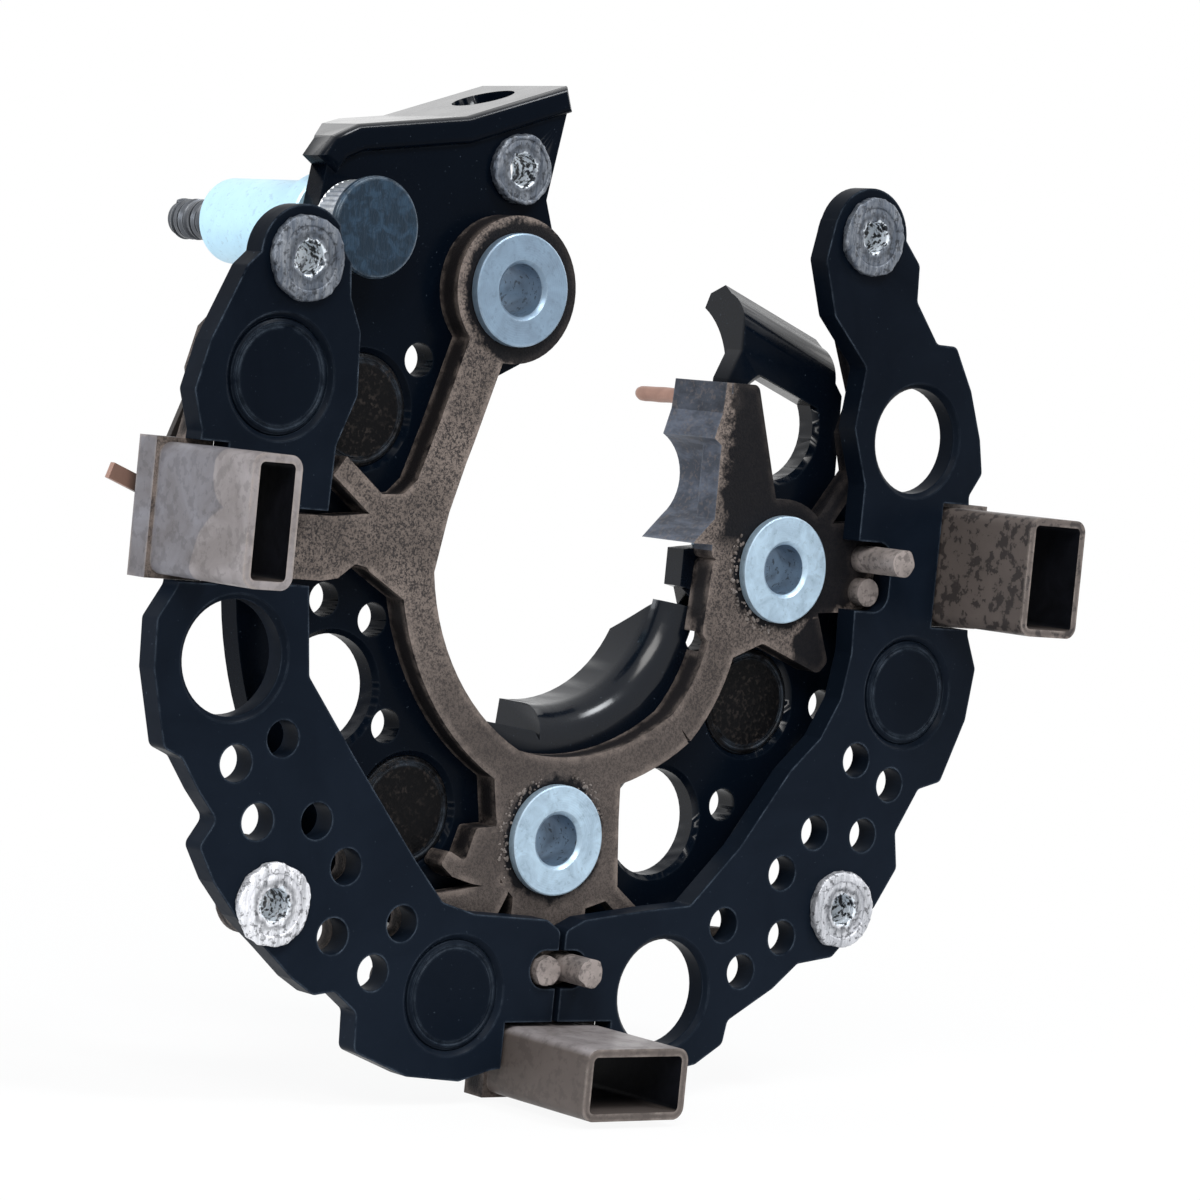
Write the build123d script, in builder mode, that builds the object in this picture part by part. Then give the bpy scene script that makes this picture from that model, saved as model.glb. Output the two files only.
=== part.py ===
from build123d import *
from math import cos, radians, sin
import os

os.makedirs("parts", exist_ok=True)

# Frame of the part, in millimetres
# The origin is on the alternator's shaft axis, in the front face of the two
# front fins. +Y runs along the shaft to the B+ stud's tip, and +Z is up.

# Stack of plates along the shaft
front_fin_t = 3.0
gap_t = 3.4
rear_fin_t = 3.0
gap_front = front_fin_t
gap_back = gap_front + gap_t
rear_back = gap_back + rear_fin_t

# Diodes pressed into the fins
diode_d = 12.8
diode_h = 5.8
diode_sink = 0.2
diode_edge = 0.5
diode_lead_d = 1.4
case_clear = 0.4
site_clear = 0.2
site_chamfer = 0.6
site_radius = 50.7
site_spread = 17.65
pair_left = 175.35
pair_bottom = -90.0
pair_right = 4.65
rear_diodes = {"left": (-31.5, 16.5), "bottom": (-20.0, -28.3), "right": (29.5, -14.0)}
rear_open_sites = ((-32.2, -15.0), (16.7, -28.8), (29.5, 19.2))

# Small cooling holes, in a fan about each lower rivet
cooling_d = 4.1
cooling_outer_r = 53.1
cooling_inner_r = 46.6
cooling_outer_angles = (-17.0, -9.2, 9.2, 17.0)
cooling_inner_angles = (-17.1, -4.15, 4.15, 17.1)
rear_cooling_d = 3.9
rim_relief = 0.3
web_min_t = 1.2

# Seam between the two front fins, and the cut-out for the bottom posts
seam_x = -0.5
seam_w = 0.8
corner_r = 1.0

# Hollow rivets that hold the front fins to the moulding's lugs
rivet_r = 56.4
rivet_angle = 42.4
rivet_head_d = 10.3
rivet_head_h = 1.1
rivet_bore_d = 3.6
rivet_shank_d = 5.2
rivet_set_d = 7.2
rivet_set_h = 0.8
rivet_ear_r = 5.8
lug_t = 2.0
lug_web_w = 2.3
lug_gap = case_clear + lug_web_w / 2 + 0.1
rivet_lug_inset = 1.2
rivet_upper_left = (-45.2, 32.3)
rivet_upper_right = (36.0, 43.0)
rivet_top = (-12.7, 45.4)
top_rivet_head_d = 9.0
running_fit = 0.2

# Bushings for the three mounting bolts
bushing_top = (-13.9, 31.7)
bushing_right = (29.5, 2.4)
bushing_bottom = (-1.0, -30.7)
bushing_bore_d = 6.0
bushing_tube_d = 8.6
bushing_flange_d = 12.9
bushing_flange_t = 1.1
bushing_chamfer = 0.45
bushing_flare_d = 10.8
bushing_flare_t = 0.8
boss_r = 8.4
spigot_wall = 1.8
spigot_short = 0.2
bushing_washer_d = 16.4
bushing_washer_t = 1.2

# Guide tubes for the stator leads
tube_wall = 0.9
tube_reach = 15.0
tube_corner = 1.5
tube_flange = 0.5
tube_gap = 0.5
tube_left = (-56.4, 4.1, 6.2, 14.2)
tube_right = (57.4, 4.4, 9.2, 14.3)
tube_bottom = (0.1, -56.1, 14.6, 8.2)

# Terminals that join each pair of diodes to its stator lead
post_d = 3.4
post_fronts = {"left": (0.3, 0.3), "bottom": (3.6, 0.6), "right": (4.6, -1.2)}
strip_y = 13.0
strip_t = 0.8
strip_w = 4.0
tail_w = 1.8
posts_left = ((-46.5, 3.0), (-46.5, -0.9))
posts_bottom = ((1.3, -45.3), (-2.6, -45.5))
posts_right = ((42.4, 4.4), (42.4, 0.4))
post_clear = 0.8
post_slot_clear = 0.5

# Rear fin
rear_radius = 46.0
flange_t = 3.1
flange_step = 0.8
top_flange_depth = 16.0
arm_bend_r = 4.4
arm_bend_angle = 73.0
arm_tip = ((4.4, 2.3), (7.0, 1.2), (7.8, -0.6))
arm_hollow = (4.6, -3.4)
arm_root = 7.0
flange_slant = 13.0
flange_hole_d = 7.4
flange_hole = (-12.3, 14.4)
lip_r = 15.7
lip_bend_r = 4.0
lip_depth = 8.8
lip_start = -9.0
lip_sweep = 86.0
lip_slant = 4.2
lip_shelf = 1.0

# B+ stud and its sleeve
stud_at = (-35.0, 36.6)
stud_head_d = 11.3
stud_head_t = 1.1
stud_collar_d = 10.4
stud_collar_h = 3.8
stud_shank_d = 8.0
stud_neck_d = 6.0
stud_thread_d = 4.8
stud_tip_y = 41.3
stud_tip_chamfer = 0.6
stud_head_chamfer = 0.3
stud_clear = 0.3
sleeve_flange_d = 11.9
sleeve_flange_t = 3.0
sleeve_d = 9.8
sleeve_end_y = 31.0
sleeve_chamfer = 1.2

# Terminal moulding
arm_w = 5.4
web_w = 4.4
stub_w = 2.7
block_depth = 9.6
block_back_x = 21.2
block_clear = 0.3
wire_at = (19.7, 21.8)
wire_d = 1.8
wire_tip_y = 21.0


def at_depth(y):
    """Plane across the shaft at depth y, drawn with x to the right and z up."""
    return Plane(origin=(0, y, 0), x_dir=(1, 0, 0), z_dir=(0, -1, 0))


def radial(angle):
    """Plane through the shaft axis, drawn with y along it and the radius up."""
    a = radians(angle)
    return Plane(origin=(0, 0, 0), x_dir=(0, 1, 0), z_dir=(sin(a), 0, -cos(a)))


def polar(radius, angle):
    """Point at a radius and an angle about the shaft, as seen from the front."""
    return radius * cos(radians(angle)), radius * sin(radians(angle))


def outline(points, radius):
    """Closed outline with every corner rounded."""
    with BuildSketch(mode=Mode.PRIVATE) as flat:
        with BuildLine():
            Polyline(*points, close=True)
        make_face()
        fillet(flat.vertices(), radius)
    return flat.sketch


def disc(at, diameter, y_back, height, mode=Mode.ADD):
    """Cylinder along the shaft from y_back towards the front."""
    with BuildSketch(at_depth(y_back)) as flat:
        with Locations(at):
            Circle(diameter / 2)
    extrude(flat.sketch, amount=height, mode=mode)


def beside(site, gap, angle):
    """Point outside a diode site, at a gap from its rim and an angle about its centre."""
    dx, dz = polar(diode_d / 2 + gap, angle)
    return site[0] + dx, site[1] + dz


def cooling_points(side):
    """Centres of the eight cooling holes about the lower rivet on one side."""
    middle = -90 + side * (90 - rivet_angle)
    outer = [polar(cooling_outer_r, middle + a) for a in cooling_outer_angles]
    inner = [polar(cooling_inner_r, middle + a) for a in cooling_inner_angles]
    return outer + inner


site_left_seat = polar(site_radius, pair_left - site_spread)
site_left_open = polar(site_radius, pair_left + site_spread)
site_bottom_seat = polar(site_radius, pair_bottom - site_spread)
site_bottom_open = polar(site_radius, pair_bottom + site_spread)
site_right_seat = polar(site_radius, pair_right - site_spread)
site_right_open = polar(site_radius, pair_right + site_spread)
rivet_lower_left = polar(rivet_r, -180 + rivet_angle)
rivet_lower_right = polar(rivet_r, -rivet_angle)
fin_rivets = (rivet_upper_left, rivet_lower_left, rivet_lower_right, rivet_upper_right)
bushings = {"top": bushing_top, "right": bushing_right, "bottom": bushing_bottom}
tubes = {"left": tube_left, "bottom": tube_bottom, "right": tube_right}
posts = {"left": posts_left, "bottom": posts_bottom, "right": posts_right}
front_diodes = {"left": site_left_seat, "bottom": site_bottom_seat, "right": site_right_seat}
front_open_sites = (site_left_open, site_bottom_open, site_right_open)

# Cooling holes of the rear fin, each beside one of its diode sites
left_open, bottom_open, right_open = rear_open_sites
rear_hole_r = rear_cooling_d / 2
rim_hole = beside(rear_diodes["right"], rear_hole_r + 3.35, 139.5)
rear_cooling = (
    beside(rear_diodes["left"], rear_hole_r + 1.25, 40.3),
    beside(left_open, rear_hole_r + 2.0, 100.0),
    beside(left_open, rear_hole_r + 1.3, 58.6),
    beside(left_open, rear_hole_r + 0.7, -23.7),
    beside(bottom_open, rear_hole_r + 2.2, 12.6),
    beside(rear_diodes["right"], rear_hole_r + 3.35, 0.0),
    rim_hole,
)


def post_slot(pair, radius, mode=Mode.SUBTRACT):
    """Slot around a pair of posts."""
    (x1, z1), (x2, z2) = pair
    with Locations(((x1 + x2) / 2, (z1 + z2) / 2)):
        gap = ((x2 - x1) ** 2 + (z2 - z1) ** 2) ** 0.5
        turned = 90 if abs(z2 - z1) > abs(x2 - x1) else 0
        SlotCenterToCenter(gap, 2 * radius, rotation=turned, mode=mode)


def tube_notches():
    """Cut the front fins clear of the guide tubes and of the posts beside them."""
    for name, (x, z, w, h) in tubes.items():
        (x1, z1), (x2, z2) = posts[name]
        middle = ((x1 + x2) / 2, (z1 + z2) / 2)
        with Locations((x, z)):
            Rectangle(w + 2 * tube_gap, h + 2 * tube_gap, mode=Mode.SUBTRACT)
        post_slot(posts[name], post_d / 2 + post_slot_clear)
        if name != "bottom":
            slot_h = abs(z2 - z1) + post_d + 2 * post_slot_clear
            inward = -1 if x > 0 else 1
            with Locations((middle[0] + inward * 1.5 * post_d, middle[1])):
                Rectangle(3 * post_d, slot_h, mode=Mode.SUBTRACT)


def chamfer_sites(part, y, centres):
    """Chamfer the front rims of the diode sites in the face at depth y."""
    rims = []
    for x, z in centres:
        at = Vector(x, y, z)
        circles = part.edges().filter_by(GeomType.CIRCLE)
        rims.append(circles.sort_by_distance(at + (0, 0, diode_d / 2))[0])
    chamfer(rims, site_chamfer)


# Left front fin: negative heat sink with two diodes and one open site
left_edge = (
    (seam_x - seam_w / 2, -56.0), (-9.2, -57.0), (-13.5, -58.2), (-21.0, -57.5),
    (-28.6, -54.6), (-28.8, -50.2), (-32.0, -47.8), (-34.8, -48.2), (-37.8, -46.4), (-41.8, -43.0),
    (-46.0, -39.6), (-49.4, -35.8), (-51.7, -31.9), (-49.8, -29.0), (-52.4, -26.0), (-55.0, -22.4),
    (-57.4, -21.4), (-59.6, -13.0), (-59.8, -7.6), (-57.6, -4.0),
    (-56.4, 12.6), (-57.8, 17.0), (-56.4, 22.4),
    (-52.6, 30.8), (-50.0, 33.4), (-39.2, 33.4),
    (-38.7, 28.6), (-37.0, 25.0), (-36.6, 18.0), (-38.8, 12.4), (-39.0, 5.4),
    (-40.6, -3.2), (-39.4, -13.0), (-32.0, -22.0),
    (-22.5, -33.1), (-18.2, -37.7), (-13.5, -39.0), (-3.0, -39.6), (seam_x - seam_w / 2, -40.9),
)
with BuildPart() as front_fin_left:
    with BuildSketch(at_depth(front_fin_t)):
        add(outline(left_edge, corner_r))
        with Locations(rivet_upper_left):
            Circle(rivet_ear_r)
        with Locations(stud_at):
            Circle(stud_head_d / 2 + stud_clear, mode=Mode.SUBTRACT)
        tube_notches()
        with Locations(site_left_seat, site_left_open, site_bottom_seat):
            Circle(diode_d / 2, mode=Mode.SUBTRACT)
        with Locations(*cooling_points(-1)):
            Circle(cooling_d / 2, mode=Mode.SUBTRACT)
        with Locations(rivet_upper_left, rivet_lower_left):
            Circle(rivet_shank_d / 2, mode=Mode.SUBTRACT)
    extrude(amount=front_fin_t)
    chamfer_sites(front_fin_left, 0, (site_left_seat, site_left_open, site_bottom_seat))

# Right front fin: negative heat sink with one diode and two open sites
right_edge = (
    (seam_x + seam_w / 2, -56.0), (9.4, -57.0), (14.0, -58.3), (21.4, -56.8),
    (25.3, -54.4), (25.8, -51.6), (32.4, -47.8), (36.0, -44.8), (41.4, -44.0),
    (47.6, -37.8), (50.6, -33.0), (49.8, -28.6), (52.9, -23.2), (56.4, -22.2),
    (59.6, -14.4), (60.4, -8.0), (58.6, -4.0),
    (56.4, 13.2), (58.2, 16.0), (57.3, 20.2), (55.0, 26.0),
    (51.8, 31.2), (48.6, 31.2), (44.6, 36.0), (44.4, 40.4), (40.4, 44.6),
    (30.4, 45.0), (29.3, 39.6), (31.6, 33.0), (37.4, 27.4), (36.5, 20.0), (39.0, 13.4), (39.0, 6.8),
    (39.4, -1.9), (39.6, -7.0), (38.6, -12.6), (36.0, -17.4), (31.8, -21.4),
    (25.0, -30.8), (18.2, -37.8), (12.0, -38.4), (2.6, -39.6), (seam_x + seam_w / 2, -40.9),
)
with BuildPart() as front_fin_right:
    with BuildSketch(at_depth(front_fin_t)):
        add(outline(right_edge, corner_r))
        with Locations(rivet_upper_right):
            Circle(rivet_ear_r)
        tube_notches()
        with Locations(site_right_seat, site_right_open, site_bottom_open):
            Circle(diode_d / 2, mode=Mode.SUBTRACT)
        with Locations(*cooling_points(1)):
            Circle(cooling_d / 2, mode=Mode.SUBTRACT)
        with Locations(rivet_upper_right, rivet_lower_right):
            Circle(rivet_shank_d / 2, mode=Mode.SUBTRACT)
    extrude(amount=front_fin_t)
    chamfer_sites(front_fin_right, 0, (site_right_seat, site_right_open, site_bottom_open))

# Rear fin: positive heat sink with bent flanges and a lip around the slip rings
lip_edge_r = lip_r + lip_bend_r
spigot_r = bushing_tube_d / 2 + spigot_wall
top_line = ((-39.2, 43.0), (-37.9, 45.0), (-35.2, 46.4), (-20.5, 49.0), (-6.6, 54.2))
arm_start = (23.2, 33.3)
arm_end = (38.4, 28.1)
arm_drop = arm_bend_r - flange_t / 2
inner_start = polar(lip_edge_r, lip_start - lip_sweep)
inner_end = polar(lip_edge_r, lip_start)
with BuildPart() as rear_fin:
    with BuildSketch(at_depth(rear_back)):
        with BuildLine():
            left_end = polar(rear_radius, 152)
            right_end = polar(rear_radius, 16)
            Polyline(left_end, (-40.4, 34.0), *top_line[:-1], (-6.6, 53.0),
                            (-8.4, 42.4), (-6.0, 36.0), (-5.6, 28.4),
                            (-10.0, 23.4), (-18.2, 19.0), (-21.6, 8.0), (-21.4, -4.0),
                            (-17.6, -12.6), (-11.6, -17.4),
                            polar(lip_edge_r - lip_shelf, lip_start - lip_sweep - 3), inner_start)
            ThreePointArc(inner_start, polar(lip_edge_r, lip_start - lip_sweep / 2), inner_end)
            Polyline(inner_end, (18.6, -0.9), (17.1, -0.6), (17.1, 3.8),
                     (block_back_x + block_clear, 4.4), (block_back_x + block_clear, 24.4),
                     (arm_start[0], 28.0), (arm_start[0], arm_start[1] - arm_drop),
                     (arm_end[0], arm_end[1] - arm_drop), (39.6, 23.8), (39.8, 13.4), right_end)
            ThreePointArc(right_end, polar(rear_radius, -96), left_end)
        make_face()
        for name, pair in posts.items():
            post_slot(pair, post_d / 2 + post_clear)
            x, z, w, h = tubes[name]
            with BuildLine():
                Line(((pair[0][0] + pair[1][0]) / 2, (pair[0][1] + pair[1][1]) / 2), (x, z))
            trace(line_width=post_d * 2 + 2 * post_clear, mode=Mode.SUBTRACT)
        with Locations(*rear_diodes.values(), *rear_open_sites):
            Circle(diode_d / 2, mode=Mode.SUBTRACT)
        with Locations(*bushings.values()):
            Circle(spigot_r + running_fit, mode=Mode.SUBTRACT)
        with Locations(rivet_top):
            Circle(rivet_shank_d / 2, mode=Mode.SUBTRACT)
        with Locations(stud_at):
            Circle(stud_shank_d / 2, mode=Mode.SUBTRACT)
        with Locations(*rear_cooling):
            Circle(rear_cooling_d / 2, mode=Mode.SUBTRACT)
    extrude(amount=rear_fin_t)
    with BuildSketch(at_depth(gap_back - flange_step)):
        with BuildLine():
            Polyline(*top_line)
        trace(line_width=flange_t)
    extrude(amount=-flange_step - top_flange_depth)
    with BuildSketch(Plane.XY.offset(top_line[0][1] - flange_t)):
        with BuildLine():
            Polyline((top_line[0][0] - flange_t, rear_back), (top_line[0][0], rear_back),
                     (top_line[0][0] + flange_slant, gap_back + top_flange_depth + 1),
                     (top_line[0][0] - flange_t, gap_back + top_flange_depth + 1), close=True)
        make_face()
    extrude(amount=4 * flange_t, mode=Mode.SUBTRACT)
    (rise_x, rise_z), (end_x, end_z) = top_line[-2:]
    slope = (end_z - rise_z) / (end_x - rise_x)
    hole_z = rise_z + slope * (flange_hole[0] - rise_x)
    across = Plane(origin=(flange_hole[0], flange_hole[1], hole_z), x_dir=(0, 1, 0),
                   z_dir=(-slope, 0, 1))
    with BuildSketch(across):
        Circle(flange_hole_d / 2)
    extrude(amount=flange_t, both=True, mode=Mode.SUBTRACT)
    bend_top = flange_t / 2
    bend = [(arm_bend_r * (1 - cos(radians(a))), bend_top - arm_bend_r * (1 - sin(radians(a))))
            for a in (0, arm_bend_angle / 2, arm_bend_angle)]
    with BuildSketch(Plane(origin=(arm_start[0], gap_back, arm_start[1]), x_dir=(0, 1, 0),
                           z_dir=(1, 0, 0))):
        with BuildLine():
            Line((0, -arm_root), bend[0])
            ThreePointArc(*bend)
            Polyline(bend[2], *arm_tip)
            ThreePointArc(arm_tip[-1], arm_hollow, (rear_fin_t, -arm_root))
            Line((rear_fin_t, -arm_root), (0, -arm_root))
        make_face()
    along = Vector(arm_end[0] - arm_start[0], 0, arm_end[1] - arm_start[1])
    extrude(amount=along.length, dir=along)
    with BuildSketch(radial(lip_start)):
        with BuildLine():
            Polyline((rear_back, lip_edge_r + 0.5), (gap_back, lip_edge_r + 0.5),
                     (gap_back, lip_edge_r))
            ThreePointArc((gap_back, lip_edge_r),
                          (gap_back + lip_bend_r * (1 - sin(radians(45))),
                           lip_edge_r - lip_bend_r * sin(radians(45))),
                          (gap_back + lip_bend_r, lip_r))
            Polyline((gap_back + lip_bend_r, lip_r), (gap_back + lip_depth, lip_r),
                     (gap_back + lip_depth, lip_r + rear_fin_t),
                     (gap_back + lip_bend_r, lip_r + rear_fin_t), (rear_back, lip_edge_r),
                     (rear_back, lip_edge_r + 0.5))
        make_face()
    revolve(axis=Axis.Y, revolution_arc=lip_sweep)
    lip_end_y = gap_back + lip_depth + 1
    with BuildSketch(Plane.YZ.offset(lip_edge_r * 0.6)):
        with BuildLine():
            Polyline((rear_back, 0), (lip_end_y, 0), (lip_end_y, inner_end[1] - lip_slant),
                     (rear_back, inner_end[1]), close=True)
        make_face()
    extrude(amount=lip_edge_r * 0.4 - 0.05, mode=Mode.SUBTRACT)
    chamfer_sites(rear_fin, gap_back, list(rear_diodes.values()) + list(rear_open_sites))

# Terminal moulding: three guide tubes, three bosses and the arms between them
junction = (-25.0, 1.8)
arm_route = ((-16.6, 27.0), (-20.4, 15.0))
with BuildPart() as terminal_moulding:
    with BuildSketch(at_depth(gap_back)):
        with Locations(*bushings.values()):
            Circle(boss_r)
        with BuildLine():
            Polyline(*arm_route, junction)
        trace(line_width=arm_w)
        tube_side = tube_left[0] + tube_left[2] / 2
        add(outline(((tube_side - 0.5, 4.4), (-36.0, 4.6), (-31.0, 5.2), (-24.0, 4.0), (-24.0, -1.0),
                     (-28.2, -1.3), (-32.6, -0.5), (-34.8, -2.2), (-37.0, -2.6),
                     (tube_side - 0.5, -2.5)), corner_r / 2))
        with BuildLine():
            Polyline((-28.0, 4.4), (-35.9, 10.2))
        trace(line_width=stub_w)
        add(outline(((-31.0, -1.0), (-24.0, -5.0), (-21.9, -2.0), (-20.4, 6.0), (-18.0, 14.0),
                     (-22.6, 12.0), (-27.0, 7.6), (-31.0, 7.4)), corner_r))
        with BuildLine():
            ThreePointArc((-24.0, 0.0), (-19.7, -12.3), (-8.0, -22.6))
        trace(line_width=web_w)
        with BuildLine():
            ThreePointArc((-8.0, -22.6), (6.9, -22.2), (16.6, -17.2))
        trace(line_width=web_w)
        with BuildLine():
            ThreePointArc((16.6, -17.2), (20.8, -10.0), (21.2, 3.0))
        trace(line_width=web_w)
        add(outline(((-10.6, -22.4), (-9.4, -29.0), (-9.3, -34.4), (-5.0, -37.6), (-1.3, -39.7),
                     (1.2, -39.8), (9.4, -37.3), (8.5, -28.2), (8.2, -23.4), (0.0, -21.4)),
                    corner_r / 2))
        add(outline(((-12.2, -29.6), (-8.4, -29.2), (-8.0, -36.6), (-12.0, -36.0), (-15.0, -35.2),
                     (-16.8, -33.8), (-15.8, -32.2), (-13.4, -33.4)), corner_r / 2))
        add(outline(((18.4, -6.0), (22.4, -9.0), (28.0, -6.6), (37.2, -9.9), (38.6, -8.4),
                     (36.0, -2.0), (28.0, 4.0), (19.0, 3.0)), corner_r))
        add(outline(((18.6, 3.0), (28.0, 3.0), (28.0, 10.0), (23.4, 24.0), (18.4, 23.9)), corner_r))
        with BuildLine():
            Polyline(bushing_right, (tube_right[0] - tube_right[2] / 2, 4.0))
        trace(line_width=2 * arm_w)
        with BuildLine():
            Polyline((-0.6, -36.0), (-0.6, tube_bottom[1] + tube_bottom[3] / 2))
        trace(line_width=2 * arm_w)
        for x, z, w, h in tubes.values():
            with Locations((x, z)):
                Rectangle(w + 2 * tube_flange, h + 2 * tube_flange)
        with Locations(*front_diodes.values()):
            Circle(diode_d / 2 + case_clear, mode=Mode.SUBTRACT)
        with Locations(*front_open_sites):
            Circle(diode_d / 2 + site_clear, mode=Mode.SUBTRACT)
    extrude(amount=gap_t)
    with BuildSketch(at_depth(gap_front + lug_t)):
        with BuildLine():
            Polyline((34.0, 6.0), *[beside(site_right_open, lug_gap, a) for a in (215, 180, 145)],
                     (37.0, 31.5), (34.8, 37.0), rivet_upper_right)
        trace(line_width=lug_web_w)
        with BuildLine():
            Polyline((tube_left[0] + lug_web_w / 2, tube_left[1] + tube_left[3] / 2),
                     *[beside(site_left_seat, lug_gap, a) for a in (205, 180, 150, 125)],
                     rivet_upper_left)
        trace(line_width=lug_web_w)
        with BuildLine():
            Polyline((8.0, -36.6), *[beside(site_bottom_open, lug_gap, a) for a in (105, 80, 55)],
                     (28.5, -42.3), (34.5, -38.0), rivet_lower_right)
        trace(line_width=lug_web_w)
        add(outline(((-6.0, -35.6), (-8.6, -40.6), (-20.5, -42.0), (-28.0, -43.6), (-38.8, -44.4),
                     (-46.4, -36.6), (-49.6, -31.5), (-43.6, -30.9), (-28.0, -32.6),
                     (-18.6, -37.4)), corner_r))
        with Locations(*fin_rivets):
            Circle(rivet_head_d / 2 - rivet_lug_inset)
        with Locations(*front_diodes.values()):
            Circle(diode_d / 2 + case_clear, mode=Mode.SUBTRACT)
        with Locations(*front_open_sites):
            Circle(diode_d / 2 + site_clear, mode=Mode.SUBTRACT)
        with Locations(*cooling_points(-1)):
            Circle(cooling_d / 2, mode=Mode.SUBTRACT)
    extrude(amount=lug_t)
    with BuildSketch(at_depth(gap_front + block_depth)):
        with BuildLine():
            Polyline((17.3, 17.2), (18.2, 20.3), (18.4, 23.9), (block_back_x, 23.9),
                     (block_back_x, 4.7), (15.6, 4.7), (18.4, 7.6))
            ThreePointArc((18.4, 7.6), (20.5, 12.3), (17.3, 17.2))
        make_face()
    extrude(amount=block_depth)
    disc(rim_hole, rear_cooling_d + 2 * rim_relief, gap_back, gap_t - web_min_t, Mode.SUBTRACT)
    with BuildSketch(at_depth(rear_back - spigot_short)):
        with Locations(*bushings.values()):
            Circle(spigot_r)
    extrude(amount=rear_fin_t)
    for x, z, w, h in tubes.values():
        with BuildSketch(at_depth(gap_back)):
            with Locations((x, z)):
                RectangleRounded(w, h, tube_corner)
        extrude(amount=gap_back + tube_reach)
    for x, z, w, h in tubes.values():
        with BuildSketch(at_depth(gap_back)):
            with Locations((x, z)):
                RectangleRounded(w - 2 * tube_wall, h - 2 * tube_wall, tube_corner - tube_wall)
        extrude(amount=gap_back + tube_reach, mode=Mode.SUBTRACT)
    with BuildSketch(at_depth(rear_back)):
        with Locations(*bushings.values()):
            Circle(bushing_tube_d / 2)
        with Locations(wire_at):
            Circle(wire_d / 2)
        with Locations(*fin_rivets):
            Circle(rivet_shank_d / 2)
        with Locations(*[at for pair in posts.values() for at in pair]):
            Circle(post_d / 2)
    extrude(amount=rear_back - gap_front, mode=Mode.SUBTRACT)
    disc(wire_at, wire_d, gap_front + block_depth, block_depth, mode=Mode.SUBTRACT)

# Diodes: a case flush in its fin and a lead towards the back
front_diode_parts = {}
for name, at in front_diodes.items():
    with BuildPart() as case:
        disc(at, diode_d, diode_sink + diode_h, diode_h)
        rim = case.edges().filter_by(GeomType.CIRCLE).sort_by(Axis.Y)[0]
        chamfer(rim, diode_edge)
        disc(at, diode_lead_d, strip_y + strip_t, strip_y + strip_t - diode_sink - diode_h)
    front_diode_parts[name] = case.part
rear_diode_parts = {}
for name, at in rear_diodes.items():
    with BuildPart() as case:
        disc(at, diode_d, gap_back + diode_sink + diode_h, diode_h)
        rim = case.edges().filter_by(GeomType.CIRCLE).sort_by(Axis.Y)[0]
        chamfer(rim, diode_edge)
        disc(at, diode_lead_d, strip_y + strip_t, strip_y + strip_t - gap_back - diode_sink - diode_h)
    rear_diode_parts[name] = case.part

# Terminals: a strip behind the rear fin, two posts to the front and a lead tail
strip_routes = {
    "left": ((-38.0, 10.0), (-50.0, 11.0), 0, (-59.0, 7.4)),
    "bottom": ((-13.0, -37.0), (-8.5, -46.8), 1, (3.4, -58.4)),
    "right": ((37.0, -5.0), (46.0, -4.0), 1, (59.0, 7.6)),
}
terminal_parts = {}
for name, (inner, outer, meeting, tail) in strip_routes.items():
    pair = posts[name]
    with BuildPart() as strip:
        with BuildSketch(at_depth(strip_y + strip_t)) as flat:
            with BuildLine():
                Polyline(rear_diodes[name], inner, pair[meeting])
            trace(line_width=strip_w)
            with BuildLine():
                Polyline(front_diodes[name], outer, pair[meeting])
            trace(line_width=strip_w)
            with BuildLine():
                Line(*pair)
            trace(line_width=strip_w)
            with BuildLine():
                Line(pair[0], tail)
            trace(line_width=tail_w)
            with Locations(*pair, rear_diodes[name], front_diodes[name]):
                Circle(strip_w / 2)
            with Locations(rear_diodes[name], front_diodes[name]):
                Circle(diode_lead_d / 2, mode=Mode.SUBTRACT)
        extrude(amount=strip_t)
        for at, reach in zip(pair, post_fronts[name]):
            disc(at, post_d, strip_y, strip_y + reach)
    terminal_parts[name] = strip.part

# Bushings: flanged steel tubes, flared over a washer behind the rear fin
bushing_parts = {}
washer_parts = {}
flare_y = rear_back + bushing_washer_t
for name, at in bushings.items():
    with BuildPart() as bush:
        disc(at, bushing_flange_d, gap_front, bushing_flange_t)
        disc(at, bushing_tube_d, flare_y, flare_y - gap_front)
        disc(at, bushing_flare_d, flare_y + bushing_flare_t, bushing_flare_t)
        rims = bush.edges().filter_by(GeomType.CIRCLE).sort_by(Axis.Y)
        chamfer(rims[0], bushing_chamfer / 2)
        disc(at, bushing_bore_d, flare_y + bushing_flare_t,
             flare_y + bushing_flare_t - gap_front + bushing_flange_t, mode=Mode.SUBTRACT)
        front = bush.faces().sort_by(Axis.Y)[0]
        chamfer(front.edges().sort_by(SortBy.LENGTH)[0], bushing_chamfer)
    bushing_parts[name] = bush.part
    with BuildPart() as washer:
        disc(at, bushing_washer_d, flare_y, bushing_washer_t)
        disc(at, bushing_tube_d, flare_y, bushing_washer_t, mode=Mode.SUBTRACT)
    washer_parts[name] = washer.part

# Hollow rivets, with their bores open from end to end
def hollow_rivet(at, front_y, back_y, front_d):
    """Tubular rivet with a head in front and a set head behind."""
    disc(at, front_d, front_y, rivet_head_h)
    disc(at, rivet_shank_d, back_y, back_y - front_y)
    disc(at, rivet_set_d, back_y + rivet_set_h, rivet_set_h)
    length = back_y - front_y + rivet_head_h + rivet_set_h
    disc(at, rivet_bore_d, back_y + rivet_set_h, length, mode=Mode.SUBTRACT)


with BuildPart() as front_rivets:
    for at in fin_rivets:
        hollow_rivet(at, 0, gap_front + lug_t, rivet_head_d)
with BuildPart() as top_rivet:
    hollow_rivet(rivet_top, gap_back, rear_back, top_rivet_head_d)

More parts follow.
